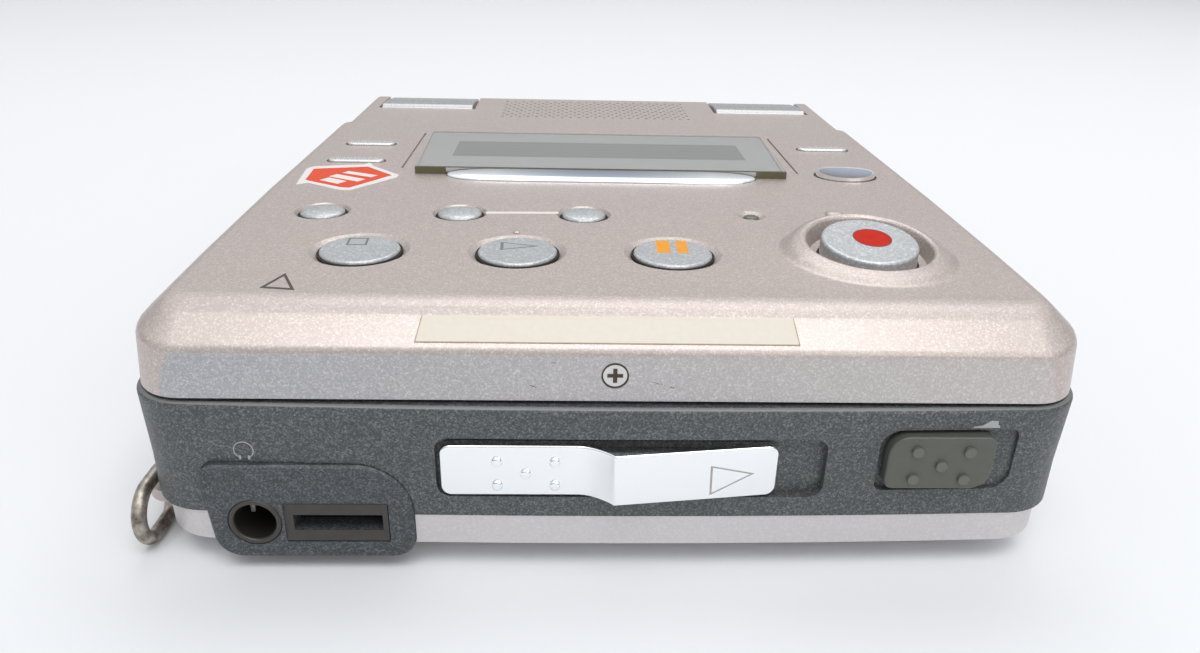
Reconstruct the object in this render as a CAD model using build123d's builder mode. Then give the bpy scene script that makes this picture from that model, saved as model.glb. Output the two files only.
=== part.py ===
from build123d import *
import os
from math import radians, tan

# A pocket minidisc recorder: silver lid hinged at the back, dark grey middle frame, silver bottom.
# Millimetres. X runs across, Y from the front (-) to the hinge (+), Z up from the table.
# The origin is on the table under the middle of the case.

os.makedirs("parts", exist_ok=True)

# ---------------------------------------------------------------- case
case_width = 82.4
case_front = -48.6
case_rear = 48.6
case_corner = 5.5
front_bow = 0.9             # the front face bows forward in the middle
waist = 0.2                 # the frame's sides draw in below the ledge
waist_height = 10.0
cover_height = 5.8          # joint between the silver bottom and the grey frame
case_top = 16.55            # ledge that the lid closes on
side_wall = 1.95
front_inside = case_front + 1.9
rear_inside = case_rear - 1.6
case_inside = case_width / 2 - waist - side_wall
boss_x = 37.6
case_bosses = [(-boss_x, 14.0), (boss_x, 14.0), (-boss_x, -30.0), (boss_x, -30.0)]

# levels of the silver bottom, from the flat belly up: height, width, front, rear, corner
belly = (0.0, 70.0, -40.0, 41.0, 6.0)
chine = (1.3, 77.6, -46.4, 46.7, 5.0)
cover_width = 80.6
rim = (2.8, cover_width, case_front + 0.15, case_rear - 0.15, case_corner)
floor_thick = 1.2
shelf_height = 2.5          # the pan widens above the sloping sides
screw_places = [(-33.2, 16.0), (33.2, 16.0), (-33.2, -35.0), (33.2, -35.0)]

# ---------------------------------------------------------------- lid
lid_gap = 0.35
lid_bottom = case_top + lid_gap
lid_top = 24.15
lid_front = -47.7
lid_rear = 48.2
lid_width = 81.9
lid_corner = 5.0
lid_draft = 5
lid_wall = 1.3
lid_ceiling = lid_top - lid_wall
bevel_depth = 3.8           # the front top edge is cut back at a slope
bevel_drop = 3.2
bevel_round = 4.5           # soft change from the flat top to the front bevel
side_run = 1.11             # the side bevels run in this far for each millimetre they drop
side_round = 1.5
# how far the side bevels drop, from the front to the rear; they deepen towards the front corners
side_drops = [(-52.0, 2.8), (-40.0, 2.3), (-30.0, 1.98), (-10.0, 1.68), (15.0, 1.75), (52.0, 1.8)]
rear_drop = 1.8
step_start = 23.0           # behind here the lid's sides step in
step_in = 0.9

# ---------------------------------------------------------------- hinge
heel = 2.2                  # the lid's rear lower edge is rounded about the hinge axis
hinge_y = lid_rear - heel
hinge_z = lid_bottom + heel
pin_radius = 0.8
running = 0.05
ear_x = 35.0
ear_width = 3.4
ear_radius = 1.95
notch_width = ear_width + 0.8

# ---------------------------------------------------------------- keys
key_row = -31.4
big_keys = {"stop_key": -23.95, "play_key": -8.9, "pause_key": 6.1}
big_radius = 3.8
small_row = -19.5
small_keys = {"speed_key": -30.5, "review_key": -15.8, "cue_key": -2.4}
small_radius = 2.36
key_gap = 0.25
dish_depth = 0.45
key_lift = 0.1              # top of the big keys above the lid
small_sink = 0.2            # top of the small keys below the lid
flange = 0.9
flange_top = lid_ceiling - 0.15
flange_thick = 0.6
key_travel = 0.4
board_z = 20.0              # underside of the key board
board_thick = 0.8
switch_height = 0.75
switch_top = board_z + board_thick + switch_height
stem_end = switch_top + key_travel + 0.05
stem_radius = 1.1
peg_places = [(-33, -37), (33, -37), (-33, 16), (33, 16)]

record_x = 25.2
record_y = -31.3
record_radius = 4.65
record_lift = 1.55
record_tilt = 8.0
crater_radius = 8.7
crater_rim = 6.5
crater_height = 1.2
crater_hole = record_radius + 0.25

oval_x = 31.15
oval_y = -1.9
oval_width = 7.5
oval_depth = 5.6
oval_hollow = 22.0          # radius of the fingertip hollow
oval_lift = 0.6
slim_keys = {
    "slim_key_right": (31.75, 12.2, 7.0),
    "slim_key_left_rear": (-31.65, 11.4, 6.5),
    "slim_key_left_front": (-31.65, 2.1, 7.1),
}
slim_depth = 1.9
slim_lift = 0.3

lamp_x = 16.0
lamp_y = -19.1
lamp_radius = 1.0

# ---------------------------------------------------------------- window and display
window_front_half = 23.3    # the window is a little wider at its rear
window_rear_half = 24.3
window_front = -3.7
window_rear = 19.9
window_middle = (window_front + window_rear) / 2
window_fit = 0.08
window_rise = 0.85          # the clear window stands up at its front
window_seat = lid_top - 0.9
sight_half = 21.5
panel_low = 20.4
bar_half = 19.3
bar_flat = 15.5             # the bar's ends sweep back from here
bar_depth = 2.2
bar_bow = 0.65
bar_height = 1.05
groove_x = 25.2
groove_front = -1.2
groove_rear = 18.7

# ---------------------------------------------------------------- microphones, speaker grille
mic_inner = 20.2
mic_outer = 35.4
mic_front = 37.1
mic_lift = 0.5
mic_centre = (mic_inner + mic_outer) / 2
grille_y = 38.0
grille_pitch = 1.36
grille_row = 1.25
grille_columns = 23
grille_rows = 6
grille_hole = 0.27
speaker_width = 31.0
speaker_depth = 14.0

# ---------------------------------------------------------------- front face
lid_screw_z = 19.15
lever_left = -14.7
lever_right = 14.2
lever_low = 8.05
lever_high = 13.0
lever_flat = -48.6          # face of the lever's flat left end
lever_crest = -50.2         # foremost line of the thumb ramp
lever_tail = -48.4          # the ramp falls back to here at the right end
curve_start = -3.1          # where the flat end begins to curve out to the crest
crest_x = 0.1
lever_travel = 3.4
recess_left = -15.1
recess_right = 18.4
recess_low = 7.8
recess_high = 13.65
recess_depth = 1.05
floor_y = case_front + recess_depth
float_gap = 0.15            # lever and knob clear their recess floors by this
dot_radius = 0.48
dot_height = 0.28
lever_dots = [(-9.87, 11.45), (-9.87, 9.1), (-7.43, 10.25), (-4.95, 11.42), (-4.95, 9.1)]
guide_places = [(-8.3, 10.7), (7.7, 10.7)]
shank_width = 2.4
shank_height = 2.2

knob_left = 23.5
knob_right = 32.7
knob_low = 9.0
knob_high = 14.2
knob_face = -48.85
knob_travel = 1.4
knob_dots = [(25.9, 12.85), (25.9, 10.1), (28.15, 11.45), (30.4, 12.85), (30.3, 10.1)]
knob_shank_z = 11.6
hold_left = 22.85
hold_right = 34.9
hold_low = 8.45
hold_high = 14.55
blunt_corner = 1.8          # knob and recess: one pair of opposite corners is blunter
sharp_corner = 0.8

jack_left = -35.2
jack_right = -17.2
jack_low = 1.35
jack_high = 10.9
jack_face = -48.62
jack_x = -30.95
jack_z = 5.12
jack_bore = 1.8
jack_ring = 2.35
jack_length = 14.0
socket_left = -28.4
socket_right = -19.35
socket_low = 3.05
socket_high = 7.1
slot_left = -27.75
slot_right = -19.95
slot_low = 4.05
slot_high = 5.7
socket_depth = 9.0
socket_sink = 0.35

# ---------------------------------------------------------------- strap ring
ring_wire = 0.65
ring_x = -41.9
ring_pivot_y = -40.6
ring_length = 6.2
ring_height = 5.2
ring_low = ring_wire + 0.05
lug_z = 3.3
lug_thick = 1.2
lug_reach = 3.0

# ---------------------------------------------------------------- disc mechanism
disc_y = -9.3               # spindle axis, under the middle of the cartridge
cartridge_width = 72.6
cartridge_depth = 68.6
slot_floor = 10.5
slot_height = 5.2
sheet = 0.4
holder_front = disc_y - cartridge_depth / 2 - 0.8
holder_rear = disc_y + cartridge_depth / 2 + sheet
holder_half = cartridge_width / 2 + sheet
lip = 3.4
holder_pivot_y = 32.0
holder_pivot_z = 13.2
pivot_radius = 1.0

board_low = 3.2
board_high = 4.0
chassis_low = 6.9
chassis_high = 7.6
chassis_half = 37.8
chassis_front = -45.0
chassis_rear = 26.4
damper_low = 4.6
damper_radius = 2.2
damper_places = [(-33.5, -26.0), (33.5, -34.0), (-33.5, 22.5), (33.5, 22.5)]
motor_radius = 10.0
motor_height = 2.6
shaft_radius = 0.75
turntable_radius = 8.0
turntable_top = 10.0

rod_radius = 0.9
rod_z = 5.6
rod_front = disc_y - 9.3
rod_rear = disc_y + 9.3
rod_start = 10.6
rod_end = 38.5
sled_start = 11.6
sled_width = 9.6
sled_top = 8.9
lens_radius = 2.0
screw_y = rod_front - 4.4
screw_radius = 0.8
groove_count = 11
groove_pitch = 2.2
sled_motor_radius = 3.2
sled_motor_length = 9.0

cell_length = 67.0
cell_depth = 15.0
cell_height = 6.0
cell_y = 36.4
cell_low = 2.3
door_half = 34.4
door_front = 27.4
door_gap = 0.2


def save(piece, label):
    """Names a finished piece and writes it as a STEP file."""
    piece.label = label
    export_step(piece, "parts/" + label + ".step")


def case_outline(width, front, rear, corner, bow=0.0):
    """Plan of the case: straight sides and rear, a front that bows forward."""
    with BuildSketch() as outline:
        with BuildLine():
            Polyline((width / 2, front + bow), (width / 2, rear), (-width / 2, rear),
                     (-width / 2, front + bow))
            if bow:
                ThreePointArc((-width / 2, front + bow), (0, front), (width / 2, front + bow))
            else:
                Line((-width / 2, front), (width / 2, front))
        make_face()
        fillet(outline.vertices(), corner)
    return outline.sketch


def rounded_panel(left, right, low, high, corner):
    """A rounded rectangle on the XZ plane's own axes, given by its four sides."""
    with BuildSketch() as panel:
        with Locations(((left + right) / 2, (low + high) / 2)):
            RectangleRounded(right - left, high - low, corner)
    return panel.sketch


# ================================================================ lid
def end_view(y, drop, inset, narrower=0.0):
    """The lid's section across at one depth: drafted sides, a soft bevel, a flat top."""
    slope = tan(radians(lid_draft))
    low = lid_bottom - 1.0
    top = lid_top - inset
    half = lid_width / 2 - inset - narrower
    bevel_low = top - drop + 0.54 * inset
    wall_x = half - (bevel_low - lid_bottom) * slope
    foot_x = half + (lid_bottom - low) * slope
    flat_x = wall_x - (top - bevel_low) * side_run
    with BuildSketch(Plane.XZ.offset(-y)) as section:
        with BuildLine():
            Polyline((-foot_x, low), (foot_x, low), (wall_x, bevel_low), (flat_x, top),
                     (-flat_x, top), (-wall_x, bevel_low), close=True)
        make_face()
        fillet(section.vertices().filter_by_position(Axis.Y, lid_bottom + 1, lid_top), side_round - inset / 2)
    return section.sketch


def lid_form(inset):
    """The lid's outer form, drawn in by the inset; its own top and sides stay parallel."""
    half = lid_width / 2 - inset
    top = lid_top - inset
    front = lid_front + inset
    rear = lid_rear - inset
    with BuildPart() as rolled:
        loft([end_view(y, drop, inset) for y, drop in side_drops])
    with BuildPart() as form:
        with BuildSketch(Plane.XY.offset(lid_bottom)):
            add(case_outline(2 * half, front, rear, lid_corner - inset))
        extrude(amount=top - lid_bottom, taper=lid_draft)
        # side view: front bevel, rounded rear top edge, heel rounded about the hinge axis
        with BuildSketch(Plane.YZ.offset(-lid_width)) as side_view:
            with BuildLine():
                Polyline(
                    (front, lid_bottom),
                    (front, lid_top - bevel_drop - inset * 0.6),
                    (lid_front + bevel_depth + inset * 0.4, top),
                    (rear, top),
                    (rear, lid_bottom),
                    close=True,
                )
            make_face()
            upper = side_view.vertices().filter_by_position(Axis.Y, lid_bottom + 1, lid_top).sort_by(Axis.X)
            fillet(upper[0], 1.2)
            fillet(side_view.vertices().filter_by_position(Axis.X, lid_front + 2, 0), bevel_round - inset)
            fillet(side_view.vertices().sort_by(Axis.X)[-2:].sort_by(Axis.Y)[-1], 1.5)
            if inset == 0:
                fillet(side_view.vertices().sort_by(Axis.X)[-2:].sort_by(Axis.Y)[0], heel)
        extrude(amount=2 * lid_width, mode=Mode.INTERSECT)
        add(rolled.part, mode=Mode.INTERSECT)
    with BuildPart() as skin:
        # what the rear of the lid's sides lose, between the full and the narrow end view
        with BuildSketch():
            for side in (-1, 1):
                with BuildLine():
                    Polyline(
                        (side * (half + 1), step_start),
                        (side * (half + 1), rear + 1),
                        (side * (half - 4), rear + 1),
                        (side * (half - 4), step_start + 3),
                        close=True,
                    )
                make_face()
        extrude(amount=lid_top + 1)
        extrude(end_view(0, rear_drop, inset, step_in), amount=case_width, both=True, mode=Mode.SUBTRACT)
    with BuildPart() as stepped:
        add(form.part)
        add(skin.part, mode=Mode.SUBTRACT)
    return stepped.part


def window_outline(gap):
    """Plan of the window: a trapezoid with rounded corners, drawn in by the gap."""
    front_half = window_front_half - gap
    rear_half = window_rear_half - gap
    with BuildSketch() as outline:
        with BuildLine():
            Polyline((-front_half, window_front + gap), (front_half, window_front + gap),
                     (rear_half, window_rear - gap), (-rear_half, window_rear - gap), close=True)
        make_face()
        fillet(outline.vertices(), 0.8 - gap)
    return outline.sketch


outer_form = lid_form(0)
inner_form = lid_form(lid_wall)

with BuildPart() as lid_shell:
    add(outer_form)
    add(inner_form, mode=Mode.SUBTRACT)

    # hinge bosses either side of each ear, merged with the rear wall
    for side in (-1, 1):
        for start, stop in ((ear_x - ear_width / 2 - 3.0, ear_x - notch_width / 2),
                            (ear_x + notch_width / 2, lid_width / 2 - 1.4 - step_in)):
            with BuildSketch(Plane.YZ.offset(side * start)):
                with Locations((hinge_y, hinge_z)):
                    Circle(1.9)
                with Locations((hinge_y + 0.9, hinge_z + 1.6)):
                    Rectangle(1.8, 3.2)
            extrude(amount=side * (stop - start))
        with BuildSketch(Plane.YZ.offset(side * (ear_x - notch_width / 2))):
            with Locations((hinge_y + 0.2, hinge_z)):
                Rectangle(5.6, 5.2)
        extrude(amount=side * notch_width, mode=Mode.SUBTRACT)
    with BuildSketch(Plane.YZ):
        with Locations((hinge_y, hinge_z)):
            Circle(pin_radius)
    extrude(amount=lid_width / 2 - 2.25, both=True, mode=Mode.SUBTRACT)

    # crater round the record key: a raised ring with a rounded rim
    with Locations((record_x, record_y, lid_ceiling)):
        Cylinder(crater_radius - 0.6, 3, mode=Mode.SUBTRACT)
    with BuildSketch(Plane.XZ.offset(-record_y)):
        with BuildLine():
            low_edge = (record_x + crater_radius, lid_top)
            Spline(low_edge, (record_x + crater_rim + 1.1, lid_top + 0.75),
                   (record_x + crater_rim + 0.15, lid_top + crater_height - 0.05),
                   tangents=[(-1, 0.25), (-1, 0.3)])
            ThreePointArc((record_x + crater_rim + 0.15, lid_top + crater_height - 0.05),
                          (record_x + crater_rim - 0.25, lid_top + crater_height),
                          (record_x + crater_rim - 0.5, lid_top + crater_height - 0.35))
            Polyline((record_x + crater_rim - 0.5, lid_top + crater_height - 0.35),
                     (record_x + crater_hole + 0.7, lid_top - 0.35),
                     (record_x + crater_hole, lid_top - 0.45),
                     (record_x + crater_hole, lid_ceiling),
                     (record_x + crater_radius, lid_ceiling),
                     low_edge)
        make_face()
    revolve(axis=Axis((record_x, record_y, 0), (0, 0, 1)))

    # dishes and holes for the round keys
    for x in big_keys.values():
        with Locations((x, key_row, lid_top - dish_depth / 2)):
            Cone(big_radius + key_gap, big_radius + 0.95, dish_depth, mode=Mode.SUBTRACT)
        with Locations((x, key_row, lid_ceiling)):
            Cylinder(big_radius + key_gap, 4, mode=Mode.SUBTRACT)
    for x in small_keys.values():
        with Locations((x, small_row, lid_top - dish_depth / 2)):
            Cone(small_radius + key_gap, small_radius + 0.6, dish_depth, mode=Mode.SUBTRACT)
        with Locations((x, small_row, lid_ceiling)):
            Cylinder(small_radius + key_gap, 4, mode=Mode.SUBTRACT)
    with Locations((lamp_x, lamp_y, lid_top - dish_depth / 2)):
        Cone(lamp_radius, lamp_radius + 0.6, dish_depth, mode=Mode.SUBTRACT)
    with Locations((lamp_x, lamp_y, lid_ceiling)):
        Cylinder(lamp_radius, 4, mode=Mode.SUBTRACT)

    # oval and slim key openings
    with BuildSketch(Plane.XY.offset(lid_ceiling - 1)):
        with Locations((oval_x, oval_y)):
            Ellipse(oval_width / 2 + key_gap, oval_depth / 2 + key_gap)
        for x, y, width in slim_keys.values():
            with Locations((x, y)):
                SlotOverall(width + 2 * key_gap, slim_depth + 2 * key_gap)
    extrude(amount=3, mode=Mode.SUBTRACT)

    # window seat with its sight opening, and the two grooves beside it
    with BuildSketch(Plane.XY.offset(window_seat)):
        add(window_outline(0))
    extrude(amount=2, mode=Mode.SUBTRACT)
    with BuildSketch(Plane.XY.offset(lid_ceiling - 1)):
        with Locations((0, window_middle)):
            Rectangle(2 * sight_half, window_rear - window_front - 3)
    extrude(amount=3, mode=Mode.SUBTRACT)
    with BuildSketch(Plane.XY.offset(lid_top - 0.3)):
        with Locations((0, (groove_front + groove_rear) / 2)):
            with GridLocations(2 * groove_x, 1, 2, 1):
                Rectangle(0.3, groove_rear - groove_front)
    extrude(amount=1, mode=Mode.SUBTRACT)

    # pockets for the microphone covers, open to the rear
    with BuildSketch(Plane.XY.offset(lid_top - 0.7)):
        with Locations((-mic_centre, mic_front + 10), (mic_centre, mic_front + 10)):
            Rectangle(mic_outer - mic_inner + 0.6, 20)
    extrude(amount=1.5, mode=Mode.SUBTRACT)
    with Locations((-mic_centre, 42.5, lid_ceiling), (mic_centre, 42.5, lid_ceiling)):
        Cylinder(2.0, 3, mode=Mode.SUBTRACT)

    # speaker grille: staggered rows of small holes
    with BuildSketch(Plane.XY.offset(lid_ceiling - 1)):
        with Locations((0, grille_y)):
            with GridLocations(grille_pitch, 2 * grille_row, grille_columns, grille_rows):
                Circle(grille_hole)
            with GridLocations(grille_pitch, 2 * grille_row, grille_columns - 1, grille_rows - 1):
                Circle(grille_hole)
    extrude(amount=3, mode=Mode.SUBTRACT)

    # counterbored hole of the front screw
    with BuildSketch(Plane.XZ.offset(-lid_front - 0.7)):
        with Locations((0, lid_screw_z)):
            Circle(1.15)
    extrude(amount=2, mode=Mode.SUBTRACT)
    with BuildSketch(Plane.XZ.offset(-lid_front - 3)):
        with Locations((0, lid_screw_z)):
            Circle(0.6)
    extrude(amount=4, mode=Mode.SUBTRACT)
save(lid_shell.part, "lid_shell")

frame_low = lid_bottom + 0.1
with BuildPart() as lid_inner_frame:
    frame_rear = hinge_y - 3.2
    with BuildSketch(Plane.XY.offset(frame_low)):
        with Locations((0, (lid_front + lid_wall + 0.4 + frame_rear) / 2)):
            RectangleRounded(lid_width - 2 * lid_wall - 2.4, frame_rear - lid_front - lid_wall - 0.4, 3.4)
        with Locations((0, lid_front + 2.1)):
            Rectangle(13.0, 1.8, mode=Mode.SUBTRACT)
    extrude(amount=0.8)
    # stiffening ribs on the upper side
    with BuildSketch(Plane.XY.offset(frame_low + 0.8)):
        with GridLocations(24.0, 1, 4, 1):
            with Locations((0, -2)):
                Rectangle(0.8, 80)
    extrude(amount=0.9)
    # pegs of the key board and rails of the display
    with BuildSketch(Plane.XY.offset(frame_low + 0.8)):
        with Locations(*peg_places):
            Circle(1.5)
    extrude(amount=board_z - frame_low - 0.8)
    with BuildSketch(Plane.XY.offset(board_z)):
        with Locations(*peg_places):
            Circle(0.8)
    extrude(amount=board_thick + 0.3)
    with BuildSketch(Plane.XY.offset(frame_low + 0.8)):
        with Locations((-16, window_middle + 1.5), (16, window_middle + 1.5)):
            Rectangle(2, 18)
    extrude(amount=panel_low - frame_low - 0.8)
    # embossed pads that press on the disc holder
    with BuildSketch(Plane.XY.offset(frame_low)):
        with Locations((-28, disc_y), (28, disc_y)):
            SlotOverall(14, 4, rotation=90)
    extrude(amount=-0.35)
save(lid_inner_frame.part, "lid_inner_frame")

with BuildPart() as hinge_pins:
    for side in (-1, 1):
        with BuildSketch(Plane.YZ.offset(side * (ear_x - ear_width / 2 - 2.8))):
            with Locations((hinge_y, hinge_z)):
                Circle(pin_radius)
        extrude(amount=side * (ear_width + 4.7))
save(hinge_pins.part, "hinge_pins")

# ---------------------------------------------------------------- window, bar, display
with BuildPart() as lcd_window:
    with BuildSketch(Plane.XY.offset(window_seat)):
        add(window_outline(window_fit))
    extrude(amount=lid_top + window_rise + 1 - window_seat)
    # side view: the top slopes back until it is flush with the lid
    with BuildSketch(Plane.YZ.offset(-case_width / 2)) as wedge:
        with BuildLine():
            Polyline((window_front + window_fit, window_seat - 1),
                     (window_front + window_fit, lid_top + window_rise),
                     (window_rear - window_fit, lid_top + 0.05),
                     (window_rear - window_fit, window_seat - 1), close=True)
        make_face()
        fillet(wedge.vertices().sort_by(Axis.Y)[-1], 0.2)
    extrude(amount=case_width, mode=Mode.INTERSECT)
save(lcd_window.part, "lcd_window")

with BuildPart() as window_bar:
    bar_rear = window_front - 0.05
    bar_front = bar_rear - bar_depth
    with BuildSketch(Plane.XY.offset(lid_top)):
        with BuildLine():
            ThreePointArc((-bar_flat, bar_front), (0, bar_front - bar_bow), (bar_flat, bar_front))
            ThreePointArc((bar_flat, bar_front), (bar_half - 0.9, bar_rear - 1.2), (bar_half, bar_rear))
            Line((bar_half, bar_rear), (-bar_half, bar_rear))
            ThreePointArc((-bar_half, bar_rear), (-bar_half + 0.9, bar_rear - 1.2), (-bar_flat, bar_front))
        make_face()
    extrude(amount=bar_height)
    fillet(window_bar.edges().group_by(Axis.Z)[-1].sort_by(Axis.Y)[0:3], 0.8)
save(window_bar.part, "window_bar")

with BuildPart() as lcd_panel:
    with Locations((0, window_middle + 1.5, panel_low + 0.9)):
        Box(41, 19, 1.8)
    # flat lead-out strip at the front edge
    with Locations((0, window_middle - 9.2, panel_low + 0.3)):
        Box(30, 2.6, 0.6)
save(lcd_panel.part, "lcd_panel")

# ---------------------------------------------------------------- microphones and speaker
with BuildPart() as mic_covers:
    for side in (-1, 1):
        with BuildSketch(Plane.YZ.offset(side * (mic_inner + 0.1))) as mic_section:
            with BuildLine():
                Polyline((mic_front + 0.15, lid_top - 0.7), (mic_front + 0.15, lid_top + 0.1),
                         (mic_front + 0.9, lid_top + mic_lift), (lid_rear, lid_top + mic_lift),
                         (lid_rear, lid_top - 0.7), close=True)
            make_face()
            fillet(mic_section.vertices().group_by(Axis.Y)[-1].sort_by(Axis.X)[-1], 0.9)
        extrude(amount=side * (mic_outer - mic_inner - 0.2))
    fillet(mic_covers.edges().filter_by(Axis.Y).group_by(Axis.Z)[-1], 0.3)
save(mic_covers.part, "mic_covers")

with BuildPart() as mic_capsules:
    with Locations((-mic_centre, 42.5, lid_ceiling - 1.6), (mic_centre, 42.5, lid_ceiling - 1.6)):
        Cylinder(3.0, 2.8)
        Cylinder(1.6, 4.0)
save(mic_capsules.part, "mic_capsules")

with BuildPart() as speaker:
    with BuildSketch(Plane.XY.offset(lid_ceiling - 0.15)):
        with Locations((0, grille_y)):
            SlotOverall(speaker_width, speaker_depth)
    extrude(amount=-1.0)
    with BuildSketch(Plane.XY.offset(lid_ceiling - 1.15)):
        with Locations((0, grille_y)):
            SlotOverall(speaker_width - 3, speaker_depth - 3)
    extrude(amount=-1.6, taper=20)
    with Locations((0, grille_y, lid_ceiling - 3.4)):
        Cylinder(4.0, 1.4)
    with BuildSketch(Plane.XY.offset(lid_ceiling - 0.15)):
        with Locations((0, grille_y)):
            SlotOverall(speaker_width - 3, speaker_depth - 3)
    extrude(amount=-0.5, mode=Mode.SUBTRACT)
save(speaker.part, "speaker")

with BuildPart() as lamp:
    with Locations((lamp_x, lamp_y, lid_top - 1.5)):
        Cylinder(lamp_radius - 0.05, 2.0)
    fillet(lamp.edges().group_by(Axis.Z)[-1], 0.6)
    with Locations((lamp_x, lamp_y, lid_ceiling - 0.35)):
        Cylinder(lamp_radius + 0.5, 0.6)
save(lamp.part, "lamp")

# ---------------------------------------------------------------- key board and switches
key_centres = [(x, key_row) for x in big_keys.values()]
key_centres += [(x, small_row) for x in small_keys.values()]
key_centres += [(record_x, record_y), (oval_x, oval_y)]
key_centres += [(x, y) for x, y, width in slim_keys.values()]

with BuildPart() as key_board:
    with BuildSketch(Plane.XY.offset(board_z)):
        with Locations((0, -26.0)):
            RectangleRounded(74, 28, 2)
        with Locations((-31.6, 2), (31.6, 2)):
            Rectangle(10.8, 32)
    extrude(amount=board_thick)
    with BuildSketch(Plane.XY.offset(board_z)):
        with Locations(*peg_places):
            Circle(0.9)
    extrude(amount=board_thick, mode=Mode.SUBTRACT)
save(key_board.part, "key_board")

with BuildPart() as key_switches:
    with BuildSketch(Plane.XY.offset(board_z + board_thick)):
        with Locations(*key_centres):
            Rectangle(3.4, 2.2)
    extrude(amount=switch_height - 0.25)
    with BuildSketch(Plane.XY.offset(board_z + board_thick)):
        with Locations(*key_centres):
            Circle(0.8)
    extrude(amount=switch_height)
save(key_switches.part, "key_switches")


# ---------------------------------------------------------------- keys
def round_key(label, x, y, radius, top, edge):
    """A turned cap with a retaining flange under the lid and a stem to its switch."""
    with BuildPart() as cap:
        with BuildSketch(Plane.XY.offset(flange_top - flange_thick)):
            with Locations((x, y)):
                Circle(radius + flange)
        extrude(amount=flange_thick)
        with BuildSketch(Plane.XY.offset(flange_top)):
            with Locations((x, y)):
                Circle(radius)
        extrude(amount=top - flange_top)
        fillet(cap.edges().group_by(Axis.Z)[-1], edge)
        with BuildSketch(Plane.XY.offset(stem_end)):
            with Locations((x, y)):
                Circle(stem_radius)
        extrude(amount=flange_top - stem_end)
    save(cap.part, label)


for label, x in big_keys.items():
    round_key(label, x, key_row, big_radius, lid_top + key_lift, 0.25)
for label, x in small_keys.items():
    round_key(label, x, small_row, small_radius, lid_top - small_sink, 0.25)

with BuildPart() as record_key:
    with BuildSketch(Plane.XY.offset(flange_top - flange_thick)):
        with Locations((record_x, record_y)):
            Circle(record_radius + flange)
    extrude(amount=flange_thick)
    with BuildSketch(Plane.XY.offset(flange_top)):
        with Locations((record_x, record_y)):
            Circle(record_radius)
    extrude(amount=lid_top + record_lift + 2 - flange_top)
    # the top face leans towards the front
    level_top = Plane(origin=(record_x, record_y, lid_top + record_lift), z_dir=(0, 0, 1))
    split(bisect_by=level_top.rotated((record_tilt, 0, 0)), keep=Keep.BOTTOM)
    fillet(record_key.edges().filter_by(GeomType.ELLIPSE).sort_by(Axis.Z)[-1], 0.3)
    with BuildSketch(Plane.XY.offset(stem_end)):
        with Locations((record_x, record_y)):
            Circle(stem_radius)
    extrude(amount=flange_top - stem_end)
save(record_key.part, "record_key")

with BuildPart() as oval_key:
    with BuildSketch(Plane.XY.offset(flange_top - flange_thick)):
        with Locations((oval_x, oval_y)):
            Ellipse(oval_width / 2 + flange, oval_depth / 2 + flange)
    extrude(amount=flange_thick)
    with BuildSketch(Plane.XY.offset(flange_top)):
        with Locations((oval_x, oval_y)):
            Ellipse(oval_width / 2, oval_depth / 2)
    extrude(amount=lid_top + oval_lift - flange_top)
    # shallow hollow for the fingertip
    with Locations((oval_x, oval_y, lid_top + oval_lift + oval_hollow - 0.3)):
        Sphere(oval_hollow, mode=Mode.SUBTRACT)
    with BuildSketch(Plane.XY.offset(stem_end)):
        with Locations((oval_x, oval_y)):
            Circle(stem_radius)
    extrude(amount=flange_top - stem_end)
save(oval_key.part, "oval_key")

for label, (x, y, width) in slim_keys.items():
    with BuildPart() as slim_key:
        with BuildSketch(Plane.XY.offset(flange_top - flange_thick)):
            with Locations((x, y)):
                SlotOverall(width + 2 * flange, slim_depth + 2 * flange)
        extrude(amount=flange_thick)
        with BuildSketch(Plane.XY.offset(flange_top)):
            with Locations((x, y)):
                SlotOverall(width, slim_depth)
        extrude(amount=lid_top + slim_lift - flange_top)
        fillet(slim_key.edges().group_by(Axis.Z)[-1], 0.3)
        with BuildSketch(Plane.XY.offset(stem_end)):
            with Locations((x, y)):
                Circle(stem_radius)
        extrude(amount=flange_top - stem_end)
    save(slim_key.part, label)

# ---------------------------------------------------------------- striker and lid screws
striker_y = lid_front + lid_wall + 0.3
with BuildPart() as latch_striker:
    with Locations((0, striker_y + 0.4, 18.75)):
        Box(11, 0.8, 2.1)
    with Locations((-1.5, striker_y + 0.4, 15.75)):
        Box(3.0, 0.8, 3.9)
    # tooth that the latch slide holds
    with Locations((-0.3, striker_y + 0.4, 14.3)):
        Box(2.4, 0.8, 1.0)
    with BuildSketch(Plane.XZ.offset(-striker_y - 2)):
        with Locations((0, lid_screw_z)):
            Circle(0.5)
    extrude(amount=4, mode=Mode.SUBTRACT)
save(latch_striker.part, "latch_striker")

with BuildPart() as lid_screws:
    # front screw through the lid into the striker
    with BuildSketch(Plane.XZ.offset(-lid_front - 0.7)):
        with Locations((0, lid_screw_z)):
            Circle(1.07)
    extrude(amount=0.45)
    with BuildSketch(Plane.XZ.offset(-striker_y - 0.75)):
        with Locations((0, lid_screw_z)):
            Circle(0.5)
    extrude(amount=-lid_front - 0.7 + striker_y + 0.75)
    with BuildSketch(Plane.XZ.offset(-lid_front - 0.15)):
        with Locations((0, lid_screw_z)):
            Rectangle(1.2, 0.36)
            Rectangle(0.36, 1.2)
    extrude(amount=-0.3, mode=Mode.SUBTRACT)
save(lid_screws.part, "lid_screws")


# ================================================================ case frame
def frame_section(z, narrow):
    """The grey frame's outline at one level, drawn in by the given amount."""
    with BuildSketch(Plane.XY.offset(z)) as section:
        add(case_outline(case_width - 2 * narrow, case_front + narrow / 2, case_rear - narrow / 2,
                         case_corner, front_bow))
    return section.sketch


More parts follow.
